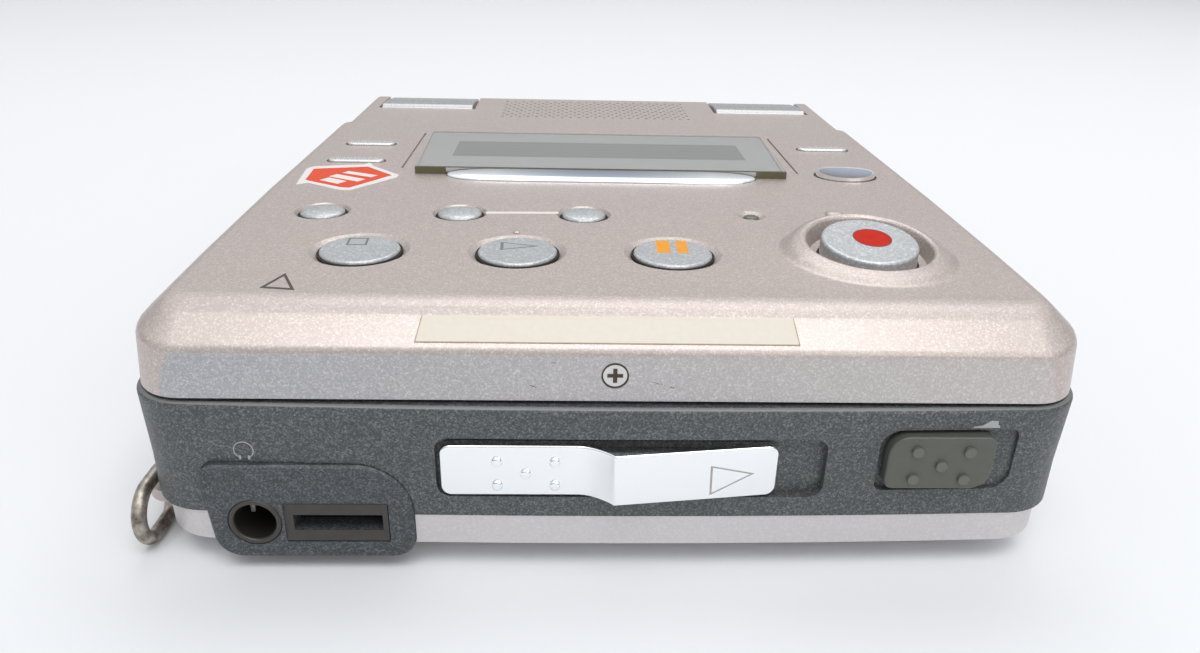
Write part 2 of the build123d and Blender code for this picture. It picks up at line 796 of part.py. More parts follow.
def jack_outline(gap):
    """Front outline of the jack housing, grown by the gap: low right side, large upper right corner."""
    left = jack_left
    right = jack_right
    with BuildSketch() as outline:
        with BuildLine():
            Polyline((left, jack_high - 1.5), (left + 0.5, jack_low + 2.2))
            ThreePointArc((left + 0.5, jack_low + 2.2), (left + 1.3, jack_low + 0.6), (left + 2.9, jack_low))
            Line((left + 2.9, jack_low), (right - 2.0, jack_low))
            ThreePointArc((right - 2.0, jack_low), (right - 0.6, jack_low + 0.6), (right, jack_low + 1.9))
            Line((right, jack_low + 1.9), (right, jack_high - 4.6))
            ThreePointArc((right, jack_high - 4.6), (right - 1.3, jack_high - 1.5), (right - 4.4, jack_high))
            Line((right - 4.4, jack_high), (left + 1.5, jack_high))
            ThreePointArc((left + 1.5, jack_high), (left + 0.45, jack_high - 0.45), (left, jack_high - 1.5))
        make_face()
        if gap:
            offset(amount=gap)
    return outline.sketch


def knob_outline(left, right, low, high):
    """A panel whose upper left and lower right corners are blunter than the other two."""
    with BuildSketch() as outline:
        with BuildLine():
            Polyline((left, low), (right, low), (right, high), (left, high), close=True)
        make_face()
        from_left = outline.vertices().sort_by(Axis.X)
        left_pair = from_left[0:2].sort_by(Axis.Y)
        right_pair = from_left[-2:].sort_by(Axis.Y)
        fillet([left_pair[-1], right_pair[0]], blunt_corner)
        others = [v for v in outline.vertices()
                  if (v.X < left + 0.01 and v.Y < low + 0.01) or (v.X > right - 0.01 and v.Y > high - 0.01)]
        fillet(others, sharp_corner)
    return outline.sketch


with BuildPart() as base_frame:
    loft([frame_section(cover_height, waist * 0.8), frame_section(waist_height, waist),
          frame_section(case_top, 0)], ruled=True)
    fillet(base_frame.edges().group_by(Axis.Z)[-1], 0.5)
    with BuildSketch(Plane.XY.offset(cover_height)):
        add(case_outline(2 * case_inside, front_inside, rear_inside, case_corner - side_wall))
    extrude(amount=case_top, mode=Mode.SUBTRACT)

    # screw bosses in the corners, open at the bottom
    with BuildSketch(Plane.XY.offset(cover_height)):
        with Locations(*case_bosses):
            Circle(1.7)
    extrude(amount=3.0)

    # bosses that hold the disc holder's pivots
    for side in (-1, 1):
        with BuildSketch(Plane.YZ.offset(side * (holder_half + 0.25))):
            with Locations((holder_pivot_y, holder_pivot_z)):
                Circle(2.3)
        extrude(amount=side * (case_inside + 0.5 - holder_half - 0.25))
    with BuildSketch(Plane.YZ):
        with Locations((holder_pivot_y, holder_pivot_z)):
            Circle(pivot_radius)
    extrude(amount=case_inside + 0.2, both=True, mode=Mode.SUBTRACT)

    # hinge ears on the rear wall
    ear_low = case_top - 4.0
    for side in (-1, 1):
        with BuildSketch(Plane.YZ.offset(side * (ear_x - ear_width / 2))):
            with Locations((hinge_y, hinge_z)):
                Circle(ear_radius)
            with BuildLine():
                Polyline((hinge_y - ear_radius, hinge_z), (hinge_y - ear_radius, ear_low + 1.5),
                         (hinge_y + 1.2, ear_low), (hinge_y + ear_radius, ear_low),
                         (hinge_y + ear_radius, hinge_z), close=True)
            make_face()
        extrude(amount=side * ear_width)
    with BuildSketch(Plane.YZ):
        with Locations((hinge_y, hinge_z)):
            Circle(pin_radius + running)
    extrude(amount=case_width / 2, both=True, mode=Mode.SUBTRACT)

    # recess of the open lever, with two guide slots through its floor
    with BuildSketch(Plane.XZ.offset(-floor_y)):
        add(rounded_panel(recess_left, recess_right, recess_low, recess_high, 1.2))
    extrude(amount=3, mode=Mode.SUBTRACT)
    with BuildSketch(Plane.XZ.offset(-front_inside - 1)):
        with Locations(*guide_places):
            RectangleRounded(shank_width + lever_travel + 0.6, shank_height + 0.4, 0.3)
    extrude(amount=4, mode=Mode.SUBTRACT)

    # recess of the hold knob, with the slot of its shank
    with BuildSketch(Plane.XZ.offset(-floor_y)):
        add(knob_outline(hold_left, hold_right, hold_low, hold_high))
    extrude(amount=3, mode=Mode.SUBTRACT)
    with BuildSketch(Plane.XZ.offset(-front_inside - 1)):
        with Locations(((knob_left + knob_right + knob_travel) / 2, knob_shank_z)):
            RectangleRounded(3.0 + knob_travel + 0.6, 2.2, 0.3)
    extrude(amount=4, mode=Mode.SUBTRACT)

    # cut-out that the jack housing fills
    with BuildSketch(Plane.XZ.offset(-front_inside - 1)):
        add(jack_outline(0.05))
    extrude(amount=6, mode=Mode.SUBTRACT)
save(base_frame.part, "base_frame")

# ---------------------------------------------------------------- bottom cover and battery door
def cover_level(z, width, front, rear, corner):
    """The silver bottom's outline at one level."""
    with BuildSketch(Plane.XY.offset(z)) as level:
        add(case_outline(width, front, rear, corner, front_bow))
    return level.sketch


def cover_form():
    """The silver bottom: upright rim, rounded into an underside that slopes to a flat belly."""
    with BuildPart() as form:
        loft([cover_level(*belly), cover_level(*chine)], ruled=True)
        loft([cover_level(*chine), cover_level(*rim)], ruled=True)
        extrude(cover_level(*rim), amount=cover_height - rim[0])
        # inside: a low pan under the mechanism, wider above the slopes
        with BuildSketch(Plane.XY.offset(floor_thick)):
            add(case_outline(belly[1], belly[2], belly[3], 5.0))
        extrude(amount=cover_height, mode=Mode.SUBTRACT)
        with BuildSketch(Plane.XY.offset(shelf_height)):
            add(case_outline(cover_width - 3.0, front_inside + 0.1, rear_inside, 4.0))
        extrude(amount=cover_height, mode=Mode.SUBTRACT)
    return form.part


cover_whole = cover_form()

with BuildPart() as bottom_cover:
    add(cover_whole)
    # battery opening, out to the rear
    with BuildSketch(Plane.XY):
        with Locations((0, (door_front + 60) / 2)):
            Rectangle(2 * door_half + 2 * door_gap, 60 - door_front)
    extrude(amount=cover_height + 1, mode=Mode.SUBTRACT)
    # posts for the rubber dampers and for the main board
    with BuildSketch(Plane.XY.offset(floor_thick)):
        with Locations(*damper_places):
            Circle(1.9)
    extrude(amount=damper_low - floor_thick)
    with BuildSketch(Plane.XY.offset(floor_thick)):
        with Locations((-14, -36), (22, -36), (-29, 4), (-14, 22), (14, 22)):
            Circle(1.4)
    extrude(amount=board_low - floor_thick)
    # cut-out for the jack housing
    with BuildSketch(Plane.XZ.offset(-front_inside - 1)):
        add(jack_outline(0.05))
    extrude(amount=6, mode=Mode.SUBTRACT)
    # holes of the case screws
    with BuildSketch(Plane.XY):
        with Locations(*screw_places):
            Circle(1.5)
    extrude(amount=0.9, mode=Mode.SUBTRACT)
save(bottom_cover.part, "bottom_cover")

with BuildPart() as battery_door:
    add(cover_whole)
    with BuildSketch(Plane.XY):
        with Locations((0, (door_front + door_gap + 60) / 2)):
            Rectangle(2 * door_half, 60 - door_front - door_gap)
    extrude(amount=cover_height - 0.1, mode=Mode.INTERSECT)
    # bed of the battery
    with BuildSketch(Plane.XY.offset(cell_low - 0.3)):
        with Locations((0, cell_y)):
            Rectangle(cell_length + 0.8, cell_depth + 0.6)
    extrude(amount=cover_height, mode=Mode.SUBTRACT)
    # grip ridges across the flat of the door
    with BuildSketch(Plane.XY):
        with Locations((0, 34.5)):
            with GridLocations(1, 1.6, 1, 4):
                SlotOverall(16, 0.7)
    extrude(amount=0.3, mode=Mode.SUBTRACT)
save(battery_door.part, "battery_door")

with BuildPart() as bottom_screws:
    with BuildSketch(Plane.XY.offset(0.25)):
        with Locations(*screw_places):
            Circle(1.35)
    extrude(amount=0.6)
    # cross recess in each head
    with BuildSketch(Plane.XY.offset(0.25)):
        with Locations(*screw_places):
            Rectangle(1.5, 0.4)
            Rectangle(0.4, 1.5)
    extrude(amount=0.3, mode=Mode.SUBTRACT)
save(bottom_screws.part, "bottom_screws")

# ---------------------------------------------------------------- jack housing and sockets
socket_back = front_inside + 0.4
with BuildPart() as jack_housing:
    # a flat face with its own rounded outline, a little proud of the bowed front
    with BuildSketch(Plane.XZ.offset(-jack_face)):
        add(jack_outline(0))
    extrude(amount=-(front_inside + 0.3 - jack_face))
    chamfer(jack_housing.edges().group_by(Axis.Y)[0], 0.2)
    # sunk plate round the socket, joined to the ring of the jack
    with BuildSketch(Plane.XZ.offset(-jack_face - socket_sink)):
        add(rounded_panel(socket_left, socket_right, socket_low, socket_high, 0.2))
        with Locations((jack_x, jack_z)):
            Circle(jack_ring)
    extrude(amount=2, mode=Mode.SUBTRACT)
    with BuildSketch(Plane.XZ.offset(-front_inside - 1)):
        with Locations((jack_x, jack_z)):
            Circle(jack_ring - 0.1)
        add(rounded_panel(slot_left, slot_right, slot_low, slot_high, 0.15))
    extrude(amount=6, mode=Mode.SUBTRACT)
save(jack_housing.part, "jack_housing")

barrel_front = jack_face + 0.25
with BuildPart() as headphone_jack:
    with BuildSketch(Plane.XZ.offset(-barrel_front)):
        with Locations((jack_x, jack_z)):
            Circle(jack_ring - 0.15)
    extrude(amount=-(front_inside + 1.0 - barrel_front))
    with BuildSketch(Plane.XZ.offset(-socket_back)):
        with Locations((jack_x, jack_z)):
            Rectangle(4.6, 4.6)
    extrude(amount=-(jack_length - 1.6))
    with BuildSketch(Plane.XZ.offset(-barrel_front + 1)):
        with Locations((jack_x, jack_z)):
            Circle(jack_bore)
    extrude(amount=-(jack_length + 1), mode=Mode.SUBTRACT)
save(headphone_jack.part, "headphone_jack")

with BuildPart() as remote_socket:
    with BuildSketch(Plane.XZ.offset(-socket_back)):
        add(rounded_panel(slot_left - 0.4, slot_right + 0.6, slot_low - 0.4, slot_high + 0.4, 0.2))
    extrude(amount=-socket_depth)
    with BuildSketch(Plane.XZ.offset(-front_inside)):
        add(rounded_panel(slot_left, slot_right, slot_low, slot_high, 0.15))
    extrude(amount=-(socket_depth - 1), mode=Mode.SUBTRACT)
    # contact tongue in the middle of the slot
    with BuildSketch(Plane.XZ.offset(-front_inside - socket_depth)):
        add(rounded_panel(slot_left + 0.8, slot_right - 0.8, slot_low + 0.5, slot_high - 0.6, 0.1))
    extrude(amount=socket_depth - 2)
save(remote_socket.part, "remote_socket")

# ---------------------------------------------------------------- open lever and latch slide
slide_y = front_inside + 0.35
lever_back = floor_y - float_gap
with BuildPart() as open_lever:
    # plan: a flat left end, a curve out to the crest, a ramp that falls back to the right
    with BuildSketch(Plane.XY.offset(lever_low)):
        with BuildLine():
            Line((curve_start, lever_flat), (lever_left, lever_flat))
            Line((lever_left, lever_flat), (lever_left, lever_back))
            Line((lever_left, lever_back), (lever_right, lever_back))
            Line((lever_right, lever_back), (lever_right, lever_tail))
            Line((lever_right, lever_tail), (crest_x, lever_crest))
            Spline((crest_x, lever_crest), (crest_x - 0.9, lever_crest + 0.75), (curve_start, lever_flat),
                   tangents=[(-0.7, 0.8), (-1.0, 0.02)])
        make_face()
    extrude(amount=lever_high - lever_low)
    fillet(open_lever.edges().filter_by(Axis.Y), 0.9)
    # domed thumb dots on the flat end
    with BuildSketch(Plane.XZ.offset(-lever_flat)):
        with Locations(*lever_dots):
            Circle(dot_radius)
    extrude(amount=dot_height)
    fillet(open_lever.edges().filter_by(GeomType.CIRCLE).group_by(Axis.Y)[0], 0.24)
    # shanks through the guide slots
    with BuildSketch(Plane.XZ.offset(-floor_y + 0.2)):
        with Locations(*guide_places):
            with Locations((-lever_travel / 2, 0)):
                Rectangle(shank_width, shank_height)
    extrude(amount=-(slide_y - floor_y + 0.2))
save(open_lever.part, "open_lever")

with BuildPart() as latch_slide:
    with BuildSketch(Plane.XZ.offset(-slide_y)):
        with Locations((-2.0, 10.7)):
            Rectangle(20.0, 3.4)
        # hook that stands beside the striker's tooth
        with Locations((2.6, 13.2)):
            Rectangle(1.8, 3.4)
        with Locations((2.2, 14.9)):
            Rectangle(2.2, 0.8)
    extrude(amount=-0.6)
save(latch_slide.part, "latch_slide")

with BuildPart() as hold_knob:
    knob_middle = (knob_left + knob_right) / 2
    with BuildSketch(Plane.XZ.offset(-floor_y + float_gap)):
        add(knob_outline(knob_left, knob_right, knob_low, knob_high))
    extrude(amount=floor_y - float_gap - knob_face)
    fillet(hold_knob.edges().group_by(Axis.Y)[0], 0.2)
    with BuildSketch(Plane.XZ.offset(-knob_face)):
        with Locations(*knob_dots):
            Circle(dot_radius)
    extrude(amount=dot_height)
    with BuildSketch(Plane.XZ.offset(-floor_y + 0.2)):
        with Locations((knob_middle, knob_shank_z)):
            Rectangle(3.0, 1.8)
    extrude(amount=-(front_inside - floor_y + 0.6))
    # clip behind the wall
    with BuildSketch(Plane.XZ.offset(-front_inside - 0.2)):
        with Locations((knob_middle, knob_shank_z)):
            Rectangle(6.4, 2.6)
    extrude(amount=-0.6)
save(hold_knob.part, "hold_knob")

# ---------------------------------------------------------------- strap lug and ring
with BuildPart() as strap_lug:
    lug_root = -cover_width / 2 - 0.02
    with BuildSketch(Plane.XY.offset(lug_z)):
        with BuildLine():
            Line((lug_root, ring_pivot_y + 2.6), (lug_root, ring_pivot_y - 2.6))
            ThreePointArc((lug_root, ring_pivot_y - 2.6), (lug_root - lug_reach, ring_pivot_y),
                          (lug_root, ring_pivot_y + 2.6))
        make_face()
        with Locations((ring_x, ring_pivot_y)):
            Circle(ring_wire + 0.1, mode=Mode.SUBTRACT)
    extrude(amount=lug_thick)
save(strap_lug.part, "strap_lug")

with BuildPart() as strap_ring:
    with BuildLine(Plane.YZ.offset(ring_x)) as ring_path:
        ring_mid = ring_low + ring_height / 2
        ring_high = ring_low + ring_height
        front_arc = ring_pivot_y - ring_length + ring_height / 2
        leg_corner = 1.2
        leg_bend = 0.2929 * leg_corner
        Line((ring_pivot_y, ring_mid), (ring_pivot_y, ring_high - leg_corner))
        ThreePointArc((ring_pivot_y, ring_high - leg_corner), (ring_pivot_y - leg_bend, ring_high - leg_bend),
                      (ring_pivot_y - leg_corner, ring_high))
        Line((ring_pivot_y - leg_corner, ring_high), (front_arc, ring_high))
        ThreePointArc((front_arc, ring_high), (ring_pivot_y - ring_length, ring_mid), (front_arc, ring_low))
        Line((front_arc, ring_low), (ring_pivot_y - leg_corner, ring_low))
        ThreePointArc((ring_pivot_y - leg_corner, ring_low), (ring_pivot_y - leg_bend, ring_low + leg_bend),
                      (ring_pivot_y, ring_low + leg_corner))
        Line((ring_pivot_y, ring_low + leg_corner), (ring_pivot_y, ring_mid))
    with BuildSketch(Plane(origin=(ring_x, ring_pivot_y, ring_mid), z_dir=(0, 0, 1))):
        Circle(ring_wire)
    sweep(path=ring_path.wires()[0])
save(strap_ring.part, "strap_ring")

# ================================================================ inside the base
with BuildPart() as main_board:
    with BuildSketch(Plane.XY.offset(board_low)) as board_plan:
        with BuildLine():
            Polyline((-37.5, -31.5), (-15.5, -31.5), (-15.5, -45.0), (37.5, -45.0),
                     (37.5, 26.0), (-37.5, 26.0), close=True)
        make_face()
        fillet(board_plan.vertices(), 0.8)
        with Locations(*damper_places):
            Circle(2.6, mode=Mode.SUBTRACT)
        with Locations((3.6, screw_y)):
            Rectangle(11, 8, mode=Mode.SUBTRACT)
    extrude(amount=board_high - board_low)
save(main_board.part, "main_board")

with BuildPart() as board_chips:
    with BuildSketch(Plane.XY.offset(board_high)):
        with Locations((-24, -18), (-22, 12)):
            Rectangle(11, 11)
        with Locations((-24, -2), (10, 18), (24, 14)):
            Rectangle(8, 6)
        with Locations((-2, -38), (10, -38)):
            Rectangle(7, 7)
    extrude(amount=1.2)
    with BuildSketch(Plane.XY.offset(board_high)):
        with Locations((0, 8)):
            with GridLocations(5, 4, 3, 2):
                Rectangle(1.6, 0.9)
        with Locations((23.5, -38.5)):
            with GridLocations(4, 4, 3, 2):
                Rectangle(2.4, 1.6)
    extrude(amount=0.8)
save(board_chips.part, "board_chips")

with BuildPart() as chassis_plate:
    with BuildSketch(Plane.XY.offset(chassis_low)) as chassis_plan:
        with BuildLine():
            Polyline((-chassis_half, -31.0), (-16.0, -31.0), (-16.0, chassis_front),
                     (chassis_half, chassis_front), (chassis_half, chassis_rear),
                     (-chassis_half, chassis_rear), close=True)
        make_face()
        fillet(chassis_plan.vertices(), 1.5)
        # window of the pickup, its rods and its screw
        with Locations(((rod_start - 1.4 + rod_end - 1.4) / 2, (screw_y - 2.4 + rod_rear + 2.0) / 2)):
            Rectangle(rod_end - rod_start, rod_rear - screw_y + 4.4, mode=Mode.SUBTRACT)
        with Locations((3.6, screw_y)):
            Rectangle(12.5, 8, mode=Mode.SUBTRACT)
        with Locations((0, disc_y)):
            Circle(2.4, mode=Mode.SUBTRACT)
        # lightening cut-outs with rounded ends
        with Locations((-22, -14), (-22, 8)):
            SlotOverall(16, 9, rotation=90, mode=Mode.SUBTRACT)
        with Locations((14, 16)):
            SlotOverall(22, 7, mode=Mode.SUBTRACT)
        with Locations(*case_bosses):
            Circle(2.2, mode=Mode.SUBTRACT)
    extrude(amount=chassis_high - chassis_low)
    # down-turned tabs that carry the rods and the screw
    tab_inner = rod_start - 1.4
    tab_outer = rod_end - 1.4
    for x in (tab_inner - 0.7, tab_outer):
        with Locations((x + 0.35, (rod_front + screw_y) / 2, 5.7)):
            Box(0.7, 7.6, 2.5)
        with Locations((x + 0.35, rod_rear, 5.7)):
            Box(0.7, 3.2, 2.5)
    with BuildSketch(Plane.YZ):
        with Locations((rod_front, rod_z), (rod_rear, rod_z)):
            Circle(rod_radius)
        with Locations((screw_y, rod_z)):
            Circle(screw_radius + running)
    extrude(amount=45, mode=Mode.SUBTRACT)
    # spacer bosses of the damper screws
    with BuildSketch(Plane.XY.offset(chassis_high)):
        with Locations(*damper_places):
            Circle(1.6)
    extrude(amount=0.6)
save(chassis_plate.part, "chassis_plate")

with BuildPart() as chassis_dampers:
    with BuildSketch(Plane.XY.offset(damper_low)):
        with Locations(*damper_places):
            Circle(damper_radius)
    extrude(amount=chassis_low - damper_low)
    chamfer(chassis_dampers.edges().group_by(Axis.Z)[-1], 0.3)
save(chassis_dampers.part, "chassis_dampers")

with BuildPart() as spindle_motor:
    with BuildSketch(Plane.XY.offset(chassis_low - motor_height)):
        with Locations((0, disc_y)):
            Circle(motor_radius)
    extrude(amount=motor_height)
    fillet(spindle_motor.edges().group_by(Axis.Z)[0], 0.5)
    with BuildSketch(Plane.XY.offset(chassis_low)):
        with Locations((0, disc_y)):
            Circle(2.3)
    extrude(amount=1.0)
    with BuildSketch(Plane.XY.offset(4.6)):
        with Locations((0, disc_y)):
            Circle(shaft_radius + running)
    extrude(amount=5, mode=Mode.SUBTRACT)
save(spindle_motor.part, "spindle_motor")

with BuildPart() as turntable:
    # turned profile: shaft, thin flange with a drop edge, centring hub
    with BuildSketch(Plane.XZ.offset(-disc_y)):
        with BuildLine():
            Polyline((0, 4.7), (shaft_radius, 4.7), (shaft_radius, 8.15), (3.2, 8.15), (3.6, 8.7),
                     (turntable_radius, 8.7), (turntable_radius, 9.3), (4.2, 9.3), (3.4, 9.6),
                     (2.4, turntable_top), (0, turntable_top), close=True)
        make_face()
    revolve(axis=Axis((0, disc_y, 0), (0, 0, 1)))
    with BuildSketch(Plane.XY.offset(8.2)):
        with Locations((0, disc_y)):
            with PolarLocations(5.9, 6):
                Circle(0.9)
    extrude(amount=2, mode=Mode.SUBTRACT)
save(turntable.part, "turntable")

with BuildPart() as guide_rods:
    with BuildSketch(Plane.YZ.offset(tab_inner - 0.7)):
        with Locations((rod_front, rod_z), (rod_rear, rod_z)):
            Circle(rod_radius)
    extrude(amount=tab_outer + 1.4 - tab_inner)
save(guide_rods.part, "guide_rods")

with BuildPart() as sled_motor:
    motor_end = tab_inner - 0.8
    with BuildSketch(Plane.YZ.offset(motor_end - sled_motor_length)):
        with Locations((screw_y, rod_z)):
            Circle(sled_motor_radius)
            Rectangle(8, 4.8, mode=Mode.INTERSECT)
    extrude(amount=sled_motor_length)
    with BuildSketch(Plane.YZ.offset(motor_end - 4)):
        with Locations((screw_y, rod_z)):
            Circle(screw_radius + running)
    extrude(amount=5, mode=Mode.SUBTRACT)
save(sled_motor.part, "sled_motor")

with BuildPart() as lead_screw:
    # half profile with rounded thread grooves, turned about the screw's axis
    screw_start = motor_end - 3.5
    screw_end = tab_outer + 0.6
    with BuildSketch(Plane.XZ.offset(-screw_y)):
        with Locations(((screw_start + screw_end) / 2, rod_z + screw_radius / 2)):
            Rectangle(screw_end - screw_start, screw_radius)
        for i in range(groove_count):
            with Locations((sled_start + 1.0 + i * groove_pitch, rod_z + screw_radius)):
                Circle(0.22, mode=Mode.SUBTRACT)
    revolve(axis=Axis((0, screw_y, rod_z), (1, 0, 0)))
save(lead_screw.part, "lead_screw")

with BuildPart() as pickup_sled:
    sled_end = sled_start + sled_width
    sled_middle = (sled_start + sled_end) / 2
    with BuildSketch(Plane.YZ.offset(sled_start)):
        with BuildLine():
            Polyline((rod_front - 1.8, 4.4), (rod_rear + 1.7, 4.4), (rod_rear + 1.7, 7.0),
                     (rod_rear - 2.6, 7.0), (rod_rear - 3.6, sled_top - 0.6),
                     (rod_front + 3.6, sled_top - 0.6), (rod_front + 2.6, 7.0),
                     (rod_front - 1.8, 7.0), close=True)
        make_face()
        with Locations((rod_front, rod_z), (rod_rear, rod_z)):
            Circle(rod_radius + running, mode=Mode.SUBTRACT)
    extrude(amount=sled_width)
    # arm with the follower that runs on the lead screw
    with Locations((sled_middle, screw_y + 0.3, rod_z)):
        Box(3.0, 4.6, 2.4)
    with BuildSketch(Plane.YZ.offset(sled_start)):
        with Locations((screw_y, rod_z)):
            Circle(screw_radius + running)
    extrude(amount=sled_width, mode=Mode.SUBTRACT)
save(pickup_sled.part, "pickup_sled")

with BuildPart() as pickup_lens:
    with Locations((sled_middle + 1.2, disc_y, sled_top - 0.6)):
        Cylinder(lens_radius + 0.7, 0.7, align=(Align.CENTER, Align.CENTER, Align.MIN))
        Cylinder(lens_radius, 1.2, align=(Align.CENTER, Align.CENTER, Align.MIN))
    fillet(pickup_lens.edges().group_by(Axis.Z)[-1], 0.35)
save(pickup_lens.part, "pickup_lens")

# ---------------------------------------------------------------- disc holder
slot_ceiling = slot_floor + slot_height
holder_low = slot_floor - 0.3
top_sheet = 0.3
with BuildPart() as disc_holder:
    # top sheet, with a window for the recording head and lightening holes
    with BuildSketch(Plane.XY.offset(slot_ceiling)):
        with Locations((0, (holder_front + holder_rear) / 2)):
            Rectangle(2 * holder_half, holder_rear - holder_front)
        with Locations((21, disc_y)):
            SlotOverall(28, 9, mode=Mode.SUBTRACT)
        with Locations((-18, disc_y)):
            Circle(7, mode=Mode.SUBTRACT)
        with Locations((0, holder_rear - 7)):
            SlotOverall(34, 5, mode=Mode.SUBTRACT)
        with Locations((0, holder_front)):
            SlotOverall(30, 6, mode=Mode.SUBTRACT)
    extrude(amount=top_sheet)
    # rear stop, bent down from the top sheet
    with BuildSketch(Plane.XY.offset(slot_floor + 0.2)):
        with Locations((0, holder_rear - sheet / 2)):
            Rectangle(2 * holder_half - 8, sheet)
    extrude(amount=slot_ceiling - slot_floor - 0.2)
save(disc_holder.part, "disc_holder")

with BuildPart() as holder_rails:
    for side in (-1, 1):
        outside = side * holder_half
        wall = side * (holder_half - sheet)
        lip_edge = side * (holder_half - sheet - lip)
        with BuildSketch(Plane.XZ.offset(-holder_front)):
            with BuildLine():
                Polyline((outside, slot_ceiling), (outside, holder_low), (lip_edge, holder_low),
                         (lip_edge, slot_floor), (wall, slot_floor), (wall, slot_ceiling), close=True)
            make_face()
        extrude(amount=-(holder_rear - holder_front))
        # arm back to the pivot
        with BuildSketch(Plane.YZ.offset(min(wall, outside))):
            with BuildLine():
                Polyline((holder_rear - 1, slot_floor + 1.0), (holder_pivot_y, slot_floor + 0.4),
                         (holder_pivot_y, slot_ceiling - 0.2), (holder_rear - 1, slot_ceiling), close=True)
            make_face()
            with Locations((holder_pivot_y, holder_pivot_z)):
                Circle(2.4)
                Circle(pivot_radius + running, mode=Mode.SUBTRACT)
        extrude(amount=sheet)
save(holder_rails.part, "holder_rails")

with BuildPart() as holder_pins:
    for side in (-1, 1):
        with BuildSketch(Plane.YZ.offset(side * (holder_half - sheet - 0.5))):
            with Locations((holder_pivot_y, holder_pivot_z)):
                Circle(pivot_radius)
        extrude(amount=side * (case_inside + 0.2 - holder_half + sheet + 0.5))
save(holder_pins.part, "holder_pins")

# ---------------------------------------------------------------- battery
with BuildPart() as battery_cell:
    with BuildSketch(Plane.YZ.offset(-cell_length / 2)):
        with Locations((cell_y, cell_low + cell_height / 2)):
            RectangleRounded(cell_depth, cell_height, 1.2)
    extrude(amount=cell_length - 1.2)
    with BuildSketch(Plane.YZ.offset(cell_length / 2 - 1.2)):
        with Locations((cell_y, cell_low + cell_height / 2)):
            SlotOverall(6.5, 3.0)
    extrude(amount=1.2)
save(battery_cell.part, "battery_cell")

with BuildPart() as battery_bay:
    bay_top = cell_low + cell_height + 0.2
    with BuildSketch(Plane.XY.offset(bay_top)):
        with Locations((0, cell_y)):
            RectangleRounded(2 * case_inside - 0.1, cell_depth + 1.4, 1.5)
    extrude(amount=0.8)
    with Locations((0, cell_y - cell_depth / 2 - 0.7, (bay_top + 1.6) / 2)):
        Box(cell_length, 0.8, bay_top - 1.6)
    for side in (-1, 1):
        with Locations((side * (cell_length / 2 + 2.4), cell_y, (bay_top + 3.4) / 2)):
            Box(0.8, cell_depth - 4, bay_top - 3.4)
save(battery_bay.part, "battery_bay")

with BuildPart() as battery_contacts:
    for side in (-1, 1):
        with BuildSketch(Plane.XZ.offset(-cell_y + 2.5)):
            with BuildLine():
                foot = side * (cell_length / 2 + 1.95)
                tip = side * (cell_length / 2 + 0.08)
                Polyline((foot, 3.6), (foot, 7.4), (foot - side * 0.4, 7.4), (foot - side * 0.4, 6.4),
                         (tip + side * 0.3, 5.2), (tip, 4.9), (tip + side * 0.3, 4.5),
                         (foot - side * 0.4, 3.6), close=True)
            make_face()
        extrude(amount=-5)
save(battery_contacts.part, "battery_contacts")
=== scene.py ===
import math
import bmesh
import bpy
from mathutils import Matrix, Vector


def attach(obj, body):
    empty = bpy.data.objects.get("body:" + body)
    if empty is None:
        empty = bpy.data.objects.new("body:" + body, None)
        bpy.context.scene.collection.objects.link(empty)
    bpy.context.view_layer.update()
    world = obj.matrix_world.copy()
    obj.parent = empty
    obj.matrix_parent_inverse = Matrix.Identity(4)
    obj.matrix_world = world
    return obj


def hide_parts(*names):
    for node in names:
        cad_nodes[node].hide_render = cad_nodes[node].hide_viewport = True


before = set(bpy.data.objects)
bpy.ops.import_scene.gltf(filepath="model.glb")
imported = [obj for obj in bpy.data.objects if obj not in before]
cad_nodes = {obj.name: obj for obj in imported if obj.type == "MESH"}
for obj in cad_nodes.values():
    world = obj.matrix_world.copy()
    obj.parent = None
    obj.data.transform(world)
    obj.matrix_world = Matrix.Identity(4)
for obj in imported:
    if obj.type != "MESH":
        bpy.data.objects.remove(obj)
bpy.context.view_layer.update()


# ---------------------------------------------------------------- case frame
# The middle of the case is a moulded tray, painted dark grey with fine metal flake. Along its
# upper edge a lighter band is a painted highlight, where light catches the edge. The jack housing
# is a separate moulding in a darker mix of the paint, set into the front left corner.

MM = 0.001


class Value:
    """A socket of a node; sums written with it add the nodes they need."""

    def __init__(self, nodes, socket):
        self.nodes = nodes
        self.socket = socket

    def maths(self, operation, first, second):
        return self.nodes.node("ShaderNodeMath", {"operation": operation}, {0: first, 1: second})

    def __add__(self, other):
        return self.maths("ADD", self, other)

    def __mul__(self, other):
        return self.maths("MULTIPLY", self, other)

    def __sub__(self, other):
        return self.maths("SUBTRACT", self, other)

    def __rsub__(self, other):
        return self.maths("SUBTRACT", other, self)

    def __gt__(self, other):
        return self.maths("GREATER_THAN", self, other)

    def __lt__(self, other):
        return self.maths("LESS_THAN", self, other)

    def __pow__(self, other):
        return self.maths("POWER", self, other)

    def at_least(self, other):
        return self.maths("MAXIMUM", self, other)

    __radd__ = __add__
    __rmul__ = __mul__


class Nodes:
    """The nodes of a finish or of the sky, and the one method that adds them."""

    def __init__(self, tree):
        self.tree = tree

    def node(self, kind, settings=None, sockets=None, out=0):
        """Adds a node, sets it up, and then gives its sockets their values or links."""
        made = self.tree.nodes.new(kind)
        for name, value in (settings or {}).items():
            if name == "stops":
                for stop, (position, colour) in zip(made.color_ramp.elements, value):
                    stop.position = position
                    stop.color = (*colour, 1)
            else:
                setattr(made, name, value)
        for name, value in (sockets or {}).items():
            if isinstance(value, Value):
                self.tree.links.new(value.socket, made.inputs[name])
            else:
                made.inputs[name].default_value = value
        return Value(self, made.outputs[out])


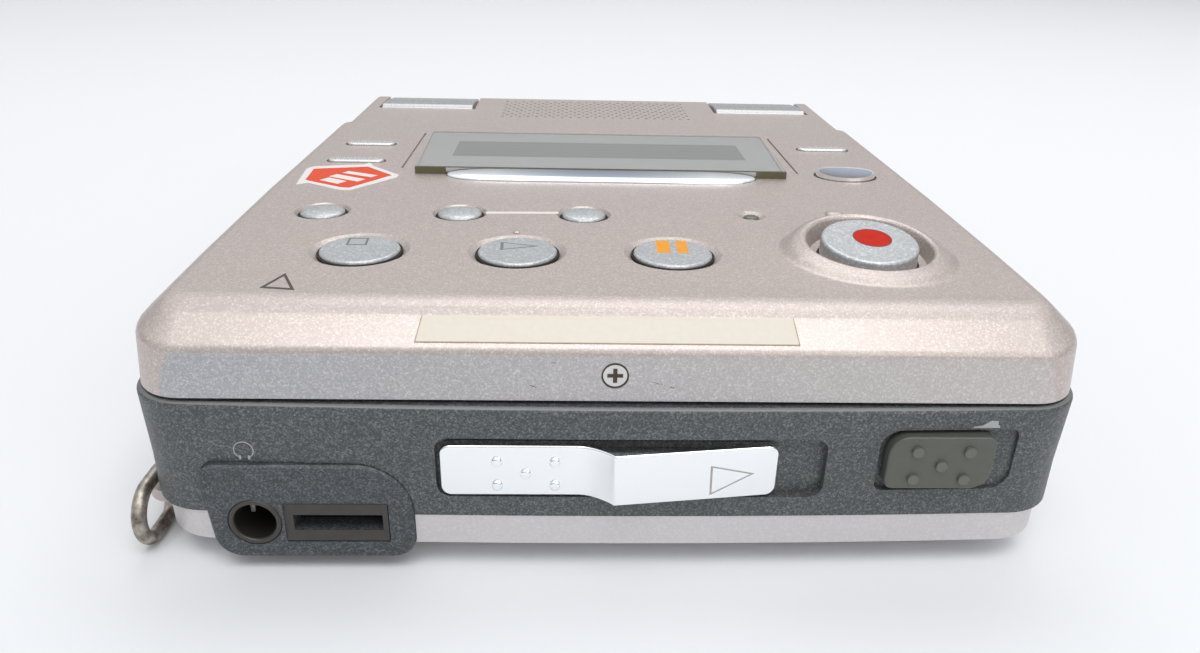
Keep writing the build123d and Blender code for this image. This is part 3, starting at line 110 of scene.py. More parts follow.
class Finish(Nodes):
    """A material with one shader."""

    def __init__(self, name, roughness=0.5, metal=0.0, **constants):
        self.material = bpy.data.materials.new(name)
        self.material.use_nodes = True
        super().__init__(self.material.node_tree)
        self.shader = self.tree.nodes["Principled BSDF"]
        self.shader.inputs["Roughness"].default_value = roughness
        self.shader.inputs["Metallic"].default_value = metal
        for socket, value in constants.items():
            self.shader.inputs[socket.replace("_", " ")].default_value = value
        self.place = self.node("ShaderNodeTexCoord", out="Object")

    def along(self, axis):
        """How far along one axis each point of the piece lies, in metres."""
        return self.node("ShaderNodeSeparateXYZ", None, {0: self.place}, out=axis)

    def mix(self, factor, first, second):
        """Blends two colours, given as red, green and blue or as sockets."""
        ends = {6: first, 7: second}
        ends = {k: v if isinstance(v, Value) else (*v, 1) for k, v in ends.items()}
        return self.node("ShaderNodeMix", {"data_type": "RGBA"}, {0: factor, **ends}, out=2)

    def noise(self, scale, detail=2.0, roughness=0.5):
        sockets = {"Vector": self.place, "Scale": scale, "Detail": detail, "Roughness": roughness}
        return self.node("ShaderNodeTexNoise", None, sockets)

    def cells(self, scale):
        """A random grey for each cell of a fine three-dimensional mosaic."""
        sockets = {"Vector": self.place, "Scale": scale}
        colour = self.node("ShaderNodeTexVoronoi", None, sockets, out="Color")
        return self.node("ShaderNodeSeparateColor", None, {0: colour})

    def ramp(self, value, start, end):
        """Rises smoothly from 0 to 1 while a value goes from start to end."""
        sockets = {"Value": value, "From Min": start, "From Max": end}
        return self.node("ShaderNodeMapRange", {"interpolation_type": "SMOOTHSTEP"}, sockets)

    def give(self, socket, value):
        self.tree.links.new(value.socket, self.shader.inputs[socket])

    def bump(self, height, strength, distance):
        sockets = {"Height": height, "Strength": strength, "Distance": distance}
        self.give("Normal", self.node("ShaderNodeBump", None, sockets))

    def coat(self, *pieces):
        """Puts this finish on the pieces, in place of what they had."""
        for piece in pieces:
            mesh = (cad_nodes[piece] if isinstance(piece, str) else piece).data
            mesh.materials.clear()
            mesh.materials.append(self.material)


def flake_paint(name, dark, light, bright, roughness, metal, size, sparkle):
    """Metallic paint: a faintly cloudy base colour, with fine flakes that catch the light."""
    paint = Finish(name, metal=metal)
    flake = paint.cells(1000 / size)
    grit = paint.cells(1000 / (size * 0.6))
    base = paint.mix(paint.noise(35, 3), dark, light)
    glint = (flake * 0.55 + grit * 0.45) ** 2.6
    paint.flakes = glint * sparkle
    paint.colour = paint.mix(paint.flakes, base, bright)
    paint.give("Base Color", paint.colour)
    paint.give("Roughness", roughness + (grit - 0.5) * 0.14)
    paint.bump(flake, 0.06, 0.02 * MM)
    return paint


graphite = flake_paint("graphite_flake", (0.052, 0.058, 0.060), (0.062, 0.068, 0.070),
                       (0.34, 0.35, 0.36), roughness=0.48, metal=0.25, size=0.15, sparkle=0.65)
# painted highlight: a lighter band along the frame's upper edge, where light catches it
highlight_low, highlight_high = 16.38, 16.54
level = graphite.along("Z")
painted_edge_highlight = (level > highlight_low * MM) * (level < highlight_high * MM)
graphite.give("Base Color", graphite.mix(painted_edge_highlight * 0.75, graphite.colour, (0.22, 0.225, 0.22)))
graphite.coat("base_frame")

deep_graphite = flake_paint("deep_graphite_flake", (0.040, 0.046, 0.050), (0.048, 0.054, 0.058),
                            (0.30, 0.32, 0.34), roughness=0.50, metal=0.25, size=0.15, sparkle=0.58)
deep_graphite.coat("jack_housing")


# ---------------------------------------------------------------- front print
# The headphone sign above the jack and the small arrow over the hold knob are printed on the
# grey paint in light grey ink. Both are generic signs, and no words are printed.

def placed(name, mesh):
    """Turns a worked mesh into an object of the scene."""
    data = bpy.data.meshes.new(name)
    mesh.to_mesh(data)
    mesh.free()
    piece = bpy.data.objects.new(name, data)
    bpy.context.collection.objects.link(piece)
    return piece


def finished(name, mesh, body, finish):
    """Makes a piece, gives it its finish and joins it to its body."""
    piece = placed(name, mesh)
    finish.coat(piece)
    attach(piece, body)
    return piece


def skin(mesh, rows, closed=False, smooth=False):
    """Draws a skin over rows of points; its ends are capped, or its last row joins its first."""
    rows = [[mesh.verts.new(point) for point in row] for row in rows]
    followers = rows[1:]
    if closed:
        followers.append(rows[0])
    else:
        mesh.faces.new(rows[0])
        mesh.faces.new(rows[-1])
    for row, follower in zip(rows, followers):
        for i in range(len(row)):
            j = (i + 1) % len(row)
            mesh.faces.new((row[i], row[j], follower[j], follower[i])).smooth = smooth


def outward(mesh):
    """Turns every face of a closed mesh to the outside."""
    bmesh.ops.recalc_face_normals(mesh, faces=mesh.faces)
    return mesh


def skinned(name, rows, body, finish, closed=False, smooth=False):
    """A piece that is one skin over rows of points."""
    mesh = bmesh.new()
    skin(mesh, rows, closed, smooth)
    return finished(name, outward(mesh), body, finish)


def plate(name, outline, low, high, place, body, finish):
    """A thin plate on an outline; place turns two coordinates and a height into a point."""
    rows = [[place(a, b, height) for a, b in outline] for height in (low, high)]
    return skinned(name, rows, body, finish)


def oval(x, y, half_width, half_height, count):
    """The outline of an oval, as points in even steps of angle."""
    turns = [2 * math.pi * i / count for i in range(count)]
    return [(x + half_width * math.cos(turn), y + half_height * math.sin(turn)) for turn in turns]


def tinted(name, scale, dark, light, detail=2.0, **shader):
    """A finish whose colour wanders a little between two tones."""
    finish = Finish(name, **shader)
    finish.give("Base Color", finish.mix(finish.noise(scale, detail), dark, light))
    return finish


def on_bow(a, b, h):
    """Places a mark on the grey frame's front, which is bowed and leans a little."""
    front, bow, half_width = -48.6, 0.9, 41.1
    lean, rim, tall = 0.1, 16.55, 6.55
    y = front + bow * (a / half_width) ** 2 + lean * (rim - b) / tall
    return (a * MM, (y - h) * MM, b * MM)


grey_ink = tinted("grey_ink", 2500, (0.34, 0.34, 0.35), (0.46, 0.46, 0.47), roughness=0.6)
ink_low, ink_high = -0.1, 0.02

sign_x, sign_z = -31.15, 12.1
band_from, band_to = -52, 232
band_outer, band_inner = 0.86, 0.78
turns = [math.radians(band_from + (band_to - band_from) * i / 24) for i in range(25)]
band = [(sign_x + band_outer * math.cos(t), sign_z + band_outer * math.sin(t)) for t in turns]
band += [(sign_x + band_inner * math.cos(t), sign_z + band_inner * math.sin(t)) for t in reversed(turns)]
plate("headphone_sign_band", band, ink_low, ink_high, on_bow, "case", grey_ink)
for side, word in ((-1, "left"), (1, "right")):
    cup = oval(sign_x + side * 0.38, sign_z - 0.72, 0.11, 0.22, 16)
    plate("headphone_sign_" + word, cup, ink_low, ink_high, on_bow, "case", grey_ink)

arrow = [(30.66, 14.72), (33.0, 14.72), (32.92, 14.95), (32.78, 14.98),
         (32.74, 15.38), (32.12, 15.44), (31.4, 14.95), (30.66, 14.86)]
plate("hold_arrow", arrow, ink_low, ink_high, on_bow, "case", grey_ink)


# ---------------------------------------------------------------- bottom cover
# The silver bottom and its sliding battery door are pressed aluminium in a pinkish silver
# paint. Small cross-head screws of blackened steel hold the bottom on.

rose_silver = flake_paint("rose_silver_paint", (0.58, 0.555, 0.565), (0.62, 0.595, 0.605),
                          (0.86, 0.84, 0.85), roughness=0.45, metal=0.35, size=0.17, sparkle=0.40)
rose_silver.coat("bottom_cover", "battery_door")

dark_steel = tinted("blackened_steel", 900, (0.10, 0.10, 0.11), (0.20, 0.20, 0.21),
                    roughness=0.42, metal=1.0)
dark_steel.coat("bottom_screws")


# ---------------------------------------------------------------- jack and remote socket
# Black mouldings behind the housing, with a turned brown-black collar round the jack, a frame
# round the socket's opening and a bright contact spring inside the jack.

def circle(x, y, radius, count=48):
    return oval(x, y, radius, radius, count)


def turned(name, profile, place, body, finish, centre, ring=False, count=40):
    """A turned piece, from the radius and height of each step; a ring's profile is closed."""
    rows = [[place(a, b, height) for a, b in circle(*centre, radius, count)] for radius, height in profile]
    return skinned(name, rows, body, finish, closed=ring, smooth=True)


def on_front(y):
    """Places a mark on a face that looks forward, at depth y; its height grows forward."""
    return lambda a, b, h: (a * MM, (y - h) * MM, b * MM)


def frame_plate(name, outer, inner, outer_height, inner_height, place, body, finish):
    """A four-sided frame that slopes down to its opening; each outline is given by its sides."""
    foot = -0.02
    rows = []
    for outline, height in ((outer, outer_height), (inner, inner_height), (inner, foot), (outer, foot)):
        left, right, low, high = outline
        corners = ((left, low), (right, low), (right, high), (left, high))
        rows.append([place(a, b, height) for a, b in corners])
    return skinned(name, rows, body, finish, closed=True)


socket_black = tinted("socket_black", 700, (0.012, 0.011, 0.010), (0.030, 0.027, 0.025), roughness=0.42)
socket_black.coat("headphone_jack", "remote_socket")

jack_x, jack_z = -30.95, 5.12
collar_black = tinted("collar_black", 900, (0.030, 0.027, 0.024), (0.060, 0.054, 0.048), roughness=0.32)
collar_black.bump(collar_black.noise(3000), 0.1, 0.02 * MM)
collar = [(1.82, -0.1), (1.82, 0.22), (1.95, 0.36), (2.15, 0.36), (2.33, 0.18), (2.33, -0.1)]
turned("jack_collar", collar, on_front(-48.36), "case", collar_black, (jack_x, jack_z), ring=True)
frame_plate("socket_plate", (-28.95, -19.45, 3.15, 7.0), (-27.72, -19.98, 4.08, 5.67), 0.28, 0.03,
            on_front(-48.27), "case", collar_black)

jack_spring = tinted("jack_spring", 900, (0.40, 0.39, 0.36), (0.55, 0.54, 0.50), roughness=0.3, metal=1.0)
contact = [(-31.95, 4.75), (-31.6, 4.75), (-31.5, 6.7), (-32.0, 6.7)]
plate("jack_contact", contact, -0.3, 0.0, on_front(-46.6), "case", jack_spring)


# ---------------------------------------------------------------- strap lug and ring
# A rivetted nickel lug and a bent wire ring. The ring is tarnished in brown and grey patches
# that are rougher than the bright metal between them.

nickel = Finish("tarnished_nickel", metal=0.9)
patch = nickel.noise(420, 6, 0.65)
stain = nickel.node("ShaderNodeValToRGB", {"stops": [(0.42, (0, 0, 0)), (0.60, (1, 1, 1))]}, {0: patch})
nickel.give("Base Color", nickel.mix(stain, (0.50, 0.46, 0.40), (0.17, 0.145, 0.115)))
nickel.give("Roughness", patch * 0.5 + 0.15)
nickel.bump(nickel.noise(1500, 4), 0.35, 0.05 * MM)
nickel.coat("strap_ring")

lug_metal = tinted("lug_metal", 500, (0.42, 0.36, 0.34), (0.60, 0.53, 0.51), detail=4,
                   roughness=0.4, metal=0.9)
lug_metal.coat("strap_lug")


# ---------------------------------------------------------------- boards
# The main board and the key board are green glass-fibre laminate, with black chips and tinned
# switches soldered on.

laminate = tinted("green_laminate", 250, (0.010, 0.085, 0.035), (0.020, 0.150, 0.060), detail=5,
                  roughness=0.35)
laminate.coat("main_board", "key_board")

chip_black = tinted("chip_black", 1200, (0.012, 0.012, 0.013), (0.030, 0.030, 0.032), roughness=0.55)
chip_black.coat("board_chips", "speaker")

tinned = tinted("tinned_steel", 600, (0.52, 0.52, 0.51), (0.66, 0.66, 0.65), roughness=0.32, metal=1.0)
tinned.coat("key_switches", "mic_capsules")


# ---------------------------------------------------------------- disc drive and battery
# The drive's zinc-plated chassis stands on black rubber dampers. It carries the spindle motor,
# the steel rods, the brass screw and the black pickup with its glass lens. The battery cell,
# in a dark blue plastic sleeve, lies in a black bay at the rear.

zinc = Finish("zinc_plated_sheet", metal=1.0)
zinc_grain = zinc.noise(300, 6, 0.6)
zinc.give("Base Color", zinc.mix(zinc_grain, (0.50, 0.51, 0.50), (0.64, 0.65, 0.63)))
zinc.give("Roughness", zinc_grain * 0.25 + 0.22)
zinc.coat("chassis_plate", "disc_holder", "holder_rails", "spindle_motor", "sled_motor",
          "latch_slide", "latch_striker")

rubber = tinted("damper_rubber", 900, (0.010, 0.010, 0.010), (0.022, 0.022, 0.022), roughness=0.8)
rubber.coat("chassis_dampers")

ground_steel = tinted("ground_steel", 900, (0.60, 0.60, 0.60), (0.70, 0.70, 0.70), roughness=0.18, metal=1.0)
ground_steel.coat("guide_rods", "turntable", "holder_pins", "hinge_pins")

brass = tinted("brass", 600, (0.55, 0.38, 0.14), (0.68, 0.50, 0.22), roughness=0.28, metal=1.0)
brass.coat("lead_screw", "battery_contacts")

sled_black = tinted("sled_black", 800, (0.018, 0.018, 0.020), (0.036, 0.036, 0.040), roughness=0.5)
sled_black.coat("pickup_sled", "battery_bay", "lid_inner_frame")

lens_glass = tinted("lens_glass", 900, (0.05, 0.07, 0.16), (0.10, 0.14, 0.26),
                    roughness=0.04, Coat_Weight=1.0)
lens_glass.coat("pickup_lens")

cell_sleeve = tinted("cell_sleeve", 200, (0.045, 0.060, 0.100), (0.060, 0.080, 0.130), detail=3,
                     roughness=0.3)
cell_sleeve.coat("battery_cell")


# ---------------------------------------------------------------- open lever
# A thumb lever of chromed zinc: flat with five dots at the left, ramped at the right, where a
# triangle is engraved. The die leaves a small round on every front edge.

def welded(node):
    """A closed copy of a node's mesh, without the seams that its shading adds."""
    mesh = bmesh.new()
    mesh.from_mesh(cad_nodes[node].data)
    bmesh.ops.remove_doubles(mesh, verts=mesh.verts, dist=1e-7)
    return mesh


def smoothed(piece, angle):
    """Shades a worked copy smoothly up to an angle; large faces keep their own direction."""
    data = piece.data
    if "custom_normal" in data.attributes:
        data.attributes.remove(data.attributes["custom_normal"])
    data.shade_smooth()
    data.set_sharp_from_angle(angle=math.radians(angle))
    weighted = piece.modifiers.new("weighted", "WEIGHTED_NORMAL")
    weighted.keep_sharp = True


def eased(mesh, edges, width):
    """Rounds the edges of a mesh."""
    bmesh.ops.bevel(mesh, geom=edges, offset=width * MM, segments=3, profile=0.5, affect="EDGES",
                    clamp_overlap=True)
    return mesh


def on_rim(edge):
    """Tells the edges round the lever's face from the rest, and from those of its dots."""
    behind_face = -48.3
    dots_left, dots_right, dots_low, dots_high = -10.8, -4.2, 8.4, 12.2
    near = all(v.co.y < behind_face * MM for v in edge.verts)
    dots = all(dots_left * MM < v.co.x < dots_right * MM and dots_low * MM < v.co.z < dots_high * MM
               for v in edge.verts)
    return near and not dots and edge.calc_face_angle(0) > math.radians(40)


def hoop(name, outer, inner, low, high, place, body, finish):
    """A flat ring between two outlines that have the same number of points."""
    steps = ((outer, low), (outer, high), (inner, high), (inner, low))
    rows = [[place(a, b, height) for a, b in outline] for outline, height in steps]
    return skinned(name, rows, body, finish, closed=True)


def shrunk(outline, share):
    """The outline drawn in towards its middle by a share of its size."""
    middle_a = sum(a for a, b in outline) / len(outline)
    middle_b = sum(b for a, b in outline) / len(outline)
    return [(a + (middle_a - a) * share, b + (middle_b - b) * share) for a, b in outline]


def on_ramp(a, b, h):
    """Places a mark on the lever's ramp, which falls back towards its right end."""
    ramp_left, ramp_right = 0.1, 14.2
    near, far = -50.2, -48.4
    y = near + (far - near) * (a - ramp_left) / (ramp_right - ramp_left)
    return (a * MM, (y - h) * MM, b * MM)


chrome = Finish("bright_chrome", metal=1.0)
smear = chrome.noise(160, 4, 0.6)
chrome.give("Base Color", chrome.mix(smear, (0.90, 0.92, 0.935), (0.95, 0.965, 0.975)))
chrome.give("Roughness", smear * 0.10 + 0.08)

lever = welded("open_lever")
bmesh.ops.dissolve_limit(lever, angle_limit=math.radians(0.6), verts=lever.verts, edges=lever.edges)
eased(lever, [edge for edge in lever.edges if on_rim(edge)], 0.16)
lever_piece = finished("lever_body", lever, "lever", chrome)
smoothed(lever_piece, 32)
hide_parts("open_lever")

groove_grey = tinted("groove_grey", 1500, (0.36, 0.345, 0.32), (0.50, 0.48, 0.45), roughness=0.5, metal=0.6)
tip = [(8.36, 8.49), (12.19, 10.43), (8.28, 11.49)]
hoop("lever_triangle", tip, shrunk(tip, 0.14), -0.03, 0.012, on_ramp, "lever", groove_grey)


# ---------------------------------------------------------------- hold knob
# A small slider moulded in olive grey, which stays where it is pushed. It has five raised dots,
# and they are coloured a little lighter than its face.

olive = Finish("olive_grey_plastic", roughness=0.42)
knob_face = -48.86
lighter_dots = (olive.along("Y") < knob_face * MM) * 0.35
knob_tone = olive.mix(olive.noise(900, 3), (0.085, 0.090, 0.074), (0.105, 0.110, 0.092))
olive.give("Base Color", olive.mix(lighter_dots, knob_tone, (0.20, 0.20, 0.175)))
olive.bump(olive.noise(5000), 0.12, 0.02 * MM)
olive.coat("hold_knob")


# ---------------------------------------------------------------- lid shell
# A pressed lid in champagne silver paint, with painted shade on its front face, darker and bluer
# at the left and paler at the right. The ring of the record key, the dishes of the keys, the grille
# and the window's seat are formed in it, and its edges are cut back in soft bevels that deepen
# towards the front corners.

champagne = flake_paint("champagne_flake", (0.455, 0.388, 0.362), (0.495, 0.424, 0.396),
                        (0.95, 0.88, 0.83), roughness=0.38, metal=0.45, size=0.14, sparkle=0.55)
# painted shade on the front face: darker and bluer towards the left, paler towards the right
face_painted_shade = champagne.mix(champagne.along("X") * 12.2 + 0.5, (0.340, 0.352, 0.385), (0.51, 0.472, 0.450))
face_paint_and_shade = champagne.mix(champagne.flakes, face_painted_shade, (0.92, 0.90, 0.90))
on_the_shaded_face = champagne.ramp(champagne.along("Y"), -47.27 * MM, -47.40 * MM)
champagne.give("Base Color", champagne.mix(on_the_shaded_face * 0.9, champagne.colour, face_paint_and_shade))

TOP = 24.15
lid_half = 40.95
lid_face = -47.7
lid_foot = 16.9
lid_corner = 5.05
steep = math.radians(85)
draft = 1 / math.tan(steep)
front_slope = math.atan2(3.2, 3.8)
front_drop = 2.88
front_heel_round = 1.2
front_brow_round = 4.5
side_slope = math.atan2(1, 1.11)
side_round = 1.5
# how far the side bevel drops, at some depths from front to rear
side_drops = [(-52.0, 2.8), (-40.0, 2.3), (-30.0, 1.98), (-10.0, 1.68), (15.0, 1.75), (52.0, 1.8)]


def drop_at(y):
    """How far the side bevel drops at one depth."""
    for (near, first), (far, second) in zip(side_drops, side_drops[1:]):
        if y <= far:
            return first + (second - first) * (y - near) / (far - near)
    return side_drops[-1][1]


def edge_profile(drop, slope, heel_round, brow_round, steps=7):
    """One edge of the lid from below to above: how far in from the foot of its wall, and how
    high. It runs on past the lid at both ends, and lies a hair inside the solid's own walls."""
    past_foot, past_top, hair = 2, 3, 0.004
    crease_up = TOP - drop
    crease_in = (crease_up - lid_foot) * draft
    heel_reach = heel_round * math.tan((steep - slope) / 2)
    heel_in = crease_in - heel_reach * math.cos(steep)
    heel_up = crease_up - heel_reach * math.sin(steep)
    brow_reach = brow_round * math.tan(slope / 2)
    brow_in = crease_in + drop / math.tan(slope) - brow_reach * math.cos(slope)
    brow_up = TOP - brow_reach * math.sin(slope)
    points = [(-past_foot * draft, lid_foot - past_foot)]
    for inward, up, first, last, radius in ((heel_in, heel_up, steep, slope, heel_round),
                                            (brow_in, brow_up, slope, 0, brow_round)):
        for i in range(steps + 1):
            turn = first + (last - first) * i / steps
            points.append((inward + radius * (math.sin(first) - math.sin(turn)),
                           up + radius * (math.cos(turn) - math.cos(first))))
    points.append((points[-1][0], TOP + past_top))
    return [(inward + hair, up - hair) for inward, up in points]


corner_x = lid_half - lid_corner
corner_y = lid_face + lid_corner + 1.2
front_edge = edge_profile(front_drop, front_slope, front_heel_round, front_brow_round)
corner_edge = edge_profile(drop_at(lid_face + lid_corner), side_slope, side_round, side_round)


def edge_points(stretch, side, where):
    """The points of the edge at one station of the left or right side, a corner or the front."""
    if stretch == "side":
        edge = edge_profile(drop_at(where), side_slope, side_round, side_round)
        return [(side * (lid_half - inward), where, up) for inward, up in edge]
    if stretch == "front":
        return [(corner_x * (2 * where - 1), lid_face + inward, up) for inward, up in front_edge]
    # in a corner, where runs from 0 at the side to 1 at the front
    turn = math.radians(90) * where
    share = where * where * (3 - 2 * where)
    points = []
    for (side_in, side_up), (front_in, front_up) in zip(corner_edge, front_edge):
        x = corner_x + (lid_half - side_in - corner_x) * math.cos(turn)
        y = corner_y + (lid_face + front_in - corner_y) * math.sin(turn)
        points.append((side * x, y, side_up + (front_up - side_up) * share))
    return points


# the stations run round the lid from its rear left end to its rear right end
down_the_side = [("side", -1, 52 - 2 * i) for i in range(47)]
round_the_corner = [("corner", -1, i / 10) for i in range(11)]
half_way = down_the_side + round_the_corner
back_again = [(stretch, 1, where) for stretch, side, where in reversed(half_way)]
stations = half_way + [("front", 0, i / 4) for i in range(1, 4)] + back_again

hull = bmesh.new()
edges = [[hull.verts.new(Vector(point) * MM) for point in edge_points(*station)] for station in stations]
for edge, following in zip(edges, edges[1:]):
    for i in range(len(edge) - 1):
        hull.faces.new((edge[i], following[i], following[i + 1], edge[i + 1]))
hull.faces.new([edge[0] for edge in edges])
hull.faces.new([edge[-1] for edge in reversed(edges)])
hull.faces.new(edges[0] + edges[-1][::-1])


def kept_inside(mesh, mould):
    """Keeps the part of a mesh that lies inside the mould, and gives it back."""
    body = placed("worked_body", mesh)
    tool = placed("worked_mould", mould)
    step = body.modifiers.new("keep", "BOOLEAN")
    step.operation = "INTERSECT"
    step.solver = "EXACT"
    step.object = tool
    left = bmesh.new()
    left.from_object(body, bpy.context.evaluated_depsgraph_get())
    bpy.data.objects.remove(body)
    bpy.data.objects.remove(tool)
    return left


# the ring round the record key leans forward with the key, more at its rear than at its front
record_x, record_y = 25.2, -31.3
record_lean = math.tan(math.radians(8))
ring_reach = 8.75
ring_flank = 1.85
ring_foot = 22.9
front_share = 0.5
shell = welded("lid_shell")
for v in shell.verts:
    out = math.hypot(v.co.x / MM - record_x, v.co.y / MM - record_y)
    if out < ring_reach and v.co.z / MM > ring_foot:
        fade_out = min(1, (ring_reach - out) / ring_flank)
        fade_down = min(1, (v.co.z / MM - ring_foot) / (TOP - ring_foot))
        rise = (v.co.y - record_y * MM) * record_lean
        v.co.z += (rise if rise > 0 else rise * front_share) * fade_out * fade_down
lid_piece = finished("lid_shell_bevelled", kept_inside(shell, outward(hull)), "lid", champagne)
smoothed(lid_piece, 30)
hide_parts("lid_shell")


# ---------------------------------------------------------------- marks on the lid
# Printed on the lid are a small triangle and a pale line that links two small keys. Two raised
# beads, pale brown discs of painted light in the grille's holes and a few scratches complete it.

def on_lid(a, b, h):
    """Places a mark on the lid's flat top."""
    return (a * MM, b * MM, (TOP + h) * MM)


dark_ink = tinted("dark_ink", 2500, (0.040, 0.036, 0.034), (0.080, 0.074, 0.070), roughness=0.6)
triangle = [(-30.3, -41.4), (-27.2, -41.8), (-29.1, -37.9)]
hoop("slot_triangle", triangle, shrunk(triangle, 0.29), -0.01, 0.012, on_lid, "lid", dark_ink)

pale_ink = tinted("pale_ink", 2500, (0.80, 0.77, 0.75), (0.86, 0.84, 0.82), roughness=0.5)
link = [(-13.0, -19.75), (-5.15, -19.45), (-5.15, -18.75), (-13.0, -19.05)]
plate("key_link_line", link, -0.01, 0.02, on_lid, "lid", pale_ink)

# a small raised dot behind the play key, and a low bead behind the ring of the record key
dot = [(0.40, -0.02), (0.38, 0.08), (0.26, 0.17), (0.08, 0.2)]
turned("play_key_dot", dot, on_lid, "lid", champagne, (-9.3, -25.95), count=24)
bead = [(1.05, -0.02), (1.0, 0.16), (0.7, 0.34), (0.25, 0.4)]
turned("record_ring_bead", bead, on_lid, "lid", champagne, (25.35, -18.4), count=32)

# a pale brown disc of painted light sits just under each hole of the speaker grille, lightening
# the shade there; the rows of holes stand half a pitch apart
grille_hole_light = tinted("grille_hole_light", 1500, (0.20, 0.155, 0.135), (0.30, 0.245, 0.215), roughness=0.9)
grille_y = 38.0
grille_rows = 11
grille_columns = 23
pitch_across, pitch_along = 1.36, 1.25
hole_light_radius = 0.262
hole_light_discs = bmesh.new()
for row in range(grille_rows):
    holes = grille_columns - row % 2
    for column in range(holes):
        x = (column - (holes - 1) / 2) * pitch_across
        y = grille_y + (row - grille_rows // 2) * pitch_along
        skin(hole_light_discs, [[on_lid(a, b, h) for a, b in circle(x, y, hole_light_radius, 12)] for h in (-0.16, -0.09)])
finished("grille_hole_light", outward(hole_light_discs), "lid", grille_hole_light)


def on_face(a, b, h):
    """Places a mark on the lid's front face, which leans back a little."""
    y = lid_face + (b - lid_foot) * draft
    return (a * MM, (y - h) * MM, b * MM)


scratch_grey = tinted("scratch_grey", 3000, (0.10, 0.09, 0.085), (0.22, 0.20, 0.19), roughness=0.7)
scratches = [((-7.15, 18.30), (-6.45, 18.08), 0.10), ((-5.3, 20.30), (-4.9, 20.28), 0.06),
             ((2.7, 18.75), (4.3, 18.30), 0.05), ((4.5, 18.22), (5.0, 18.08), 0.11)]
for number, (start, end, width) in enumerate(scratches):
    middle_a, middle_b = (start[0] + end[0]) / 2, (start[1] + end[1]) / 2
    mark = [start, (middle_a, middle_b - width / 2), end, (middle_a, middle_b + width / 2)]
    plate("scratch_%d" % number, mark, -0.02, 0.006, on_face, "lid", scratch_grey)


# ---------------------------------------------------------------- label and sticker
# A blank cream label lies along the front slope of the lid, and a red and white paper sticker
# is stuck beside the keys. Neither carries any words.

slope_foot_y, slope_foot_z = -47.273, 21.309
slope_straight = 2.76


def on_slope(a, b, h):
    """Places a mark on the front slope of the lid; b runs up the slope from its lower end."""
    along = min(b, slope_straight)
    y = slope_foot_y + along * math.cos(front_slope)
    z = slope_foot_z + along * math.sin(front_slope)
    turn = max(b - slope_straight, 0) / front_brow_round
    angle = front_slope - turn
    y += front_brow_round * (math.sin(front_slope) - math.sin(angle))
    z += front_brow_round * (math.cos(angle) - math.cos(front_slope))
    return (a * MM, (y - h * math.sin(angle)) * MM, (z + h * math.cos(angle)) * MM)


def strip(name, left, right, low, high, thick, finish, steps=8):
    """A thin strip up the front slope; each side is given by its lower and its upper end."""
    rows = []
    for i in range(steps + 1):
        share = i / steps
        b = low + (high - low) * share
        left_a = left[0] + (left[1] - left[0]) * share
        right_a = right[0] + (right[1] - right[0]) * share
        section = ((left_a, 0), (right_a, 0), (right_a, thick), (left_a, thick))
        rows.append([on_slope(a, b, h) for a, h in section])
    return skinned(name, rows, "lid", finish)


paper = Finish("cream_label", roughness=0.45)
fibre = paper.noise(1800, 4)
paper.give("Base Color", paper.mix(fibre, (0.72, 0.66, 0.57), (0.78, 0.72, 0.625)))
paper.bump(fibre, 0.1, 0.02 * MM)
tan_edge = tinted("label_edge", 1500, (0.34, 0.25, 0.15), (0.46, 0.36, 0.24), roughness=0.5)
label_low, label_high = 0.70, 3.12
strip("slope_label", (-16.4, -15.98), (15.2, 14.9), label_low, label_high, 0.05, paper)
strip("label_edge_low", (-16.45, -16.44), (15.26, 15.25), label_low - 0.05, label_low + 0.03, 0.06,
      tan_edge, steps=1)
strip("label_edge_left", (-16.45, -16.03), (-16.37, -15.95), label_low, label_high, 0.06, tan_edge)
strip("label_edge_right", (15.18, 14.87), (15.26, 14.95), label_low, label_high, 0.06, tan_edge)

white_paper = tinted("white_sticker", 1500, (0.80, 0.775, 0.75), (0.87, 0.85, 0.83), roughness=0.5)
sticker = [(-36.16, -9.49), (-34.90, -8.78), (-30.66, -11.52), (-29.48, -11.67), (-25.03, -5.77),
           (-25.00, -4.61), (-28.90, -0.62), (-29.73, 1.05), (-30.20, 0.10), (-36.24, -1.20),
           (-36.84, -2.46)]
plate("sticker_white", sticker, -0.01, 0.04, on_lid, "lid", white_paper)
red_paper = tinted("red_sticker", 1500, (0.72, 0.085, 0.040), (0.80, 0.120, 0.065),
                   roughness=0.7, Specular_IOR_Level=0.15)
red_part = [(-35.60, -7.50), (-35.07, -7.91), (-30.68, -10.48), (-29.72, -10.64), (-25.81, -4.90),
            (-29.53, -1.04), (-35.93, -2.41)]
plate("sticker_red", red_part, 0.0, 0.05, on_lid, "lid", red_paper)
white_bars = [[(-33.9, -7.6), (-31.4, -9.1), (-30.6, -7.9), (-33.1, -6.4)],
              [(-33.2, -5.9), (-29.3, -8.0), (-28.6, -6.9), (-32.5, -4.8)],
              [(-32.0, -4.2), (-28.1, -6.0), (-27.5, -5.1), (-31.4, -3.3)]]
for number, bar in enumerate(white_bars):
    plate("sticker_bar_%d" % number, bar, 0.0, 0.06, on_lid, "lid", white_paper)


# ---------------------------------------------------------------- window
# A clear wedge is bonded over the display, a pale grey face with a darker band where the
# figures would show. Its front edge carries painted shade in dark olive, and a half-round bright
# bar stands before it, with ends that sweep back to the window; a bluish reflection is painted
# along the middle of the bar's top.

smoke = Finish("clear_window", roughness=0.10, Coat_Weight=0.3)
haze = smoke.noise(140, 3)
smoke.give("Base Color", smoke.mix(haze, (0.47, 0.475, 0.47), (0.53, 0.535, 0.53)))
smoke.give("Alpha", haze * 0.1 + 0.38)
smoke.coat("lcd_window")

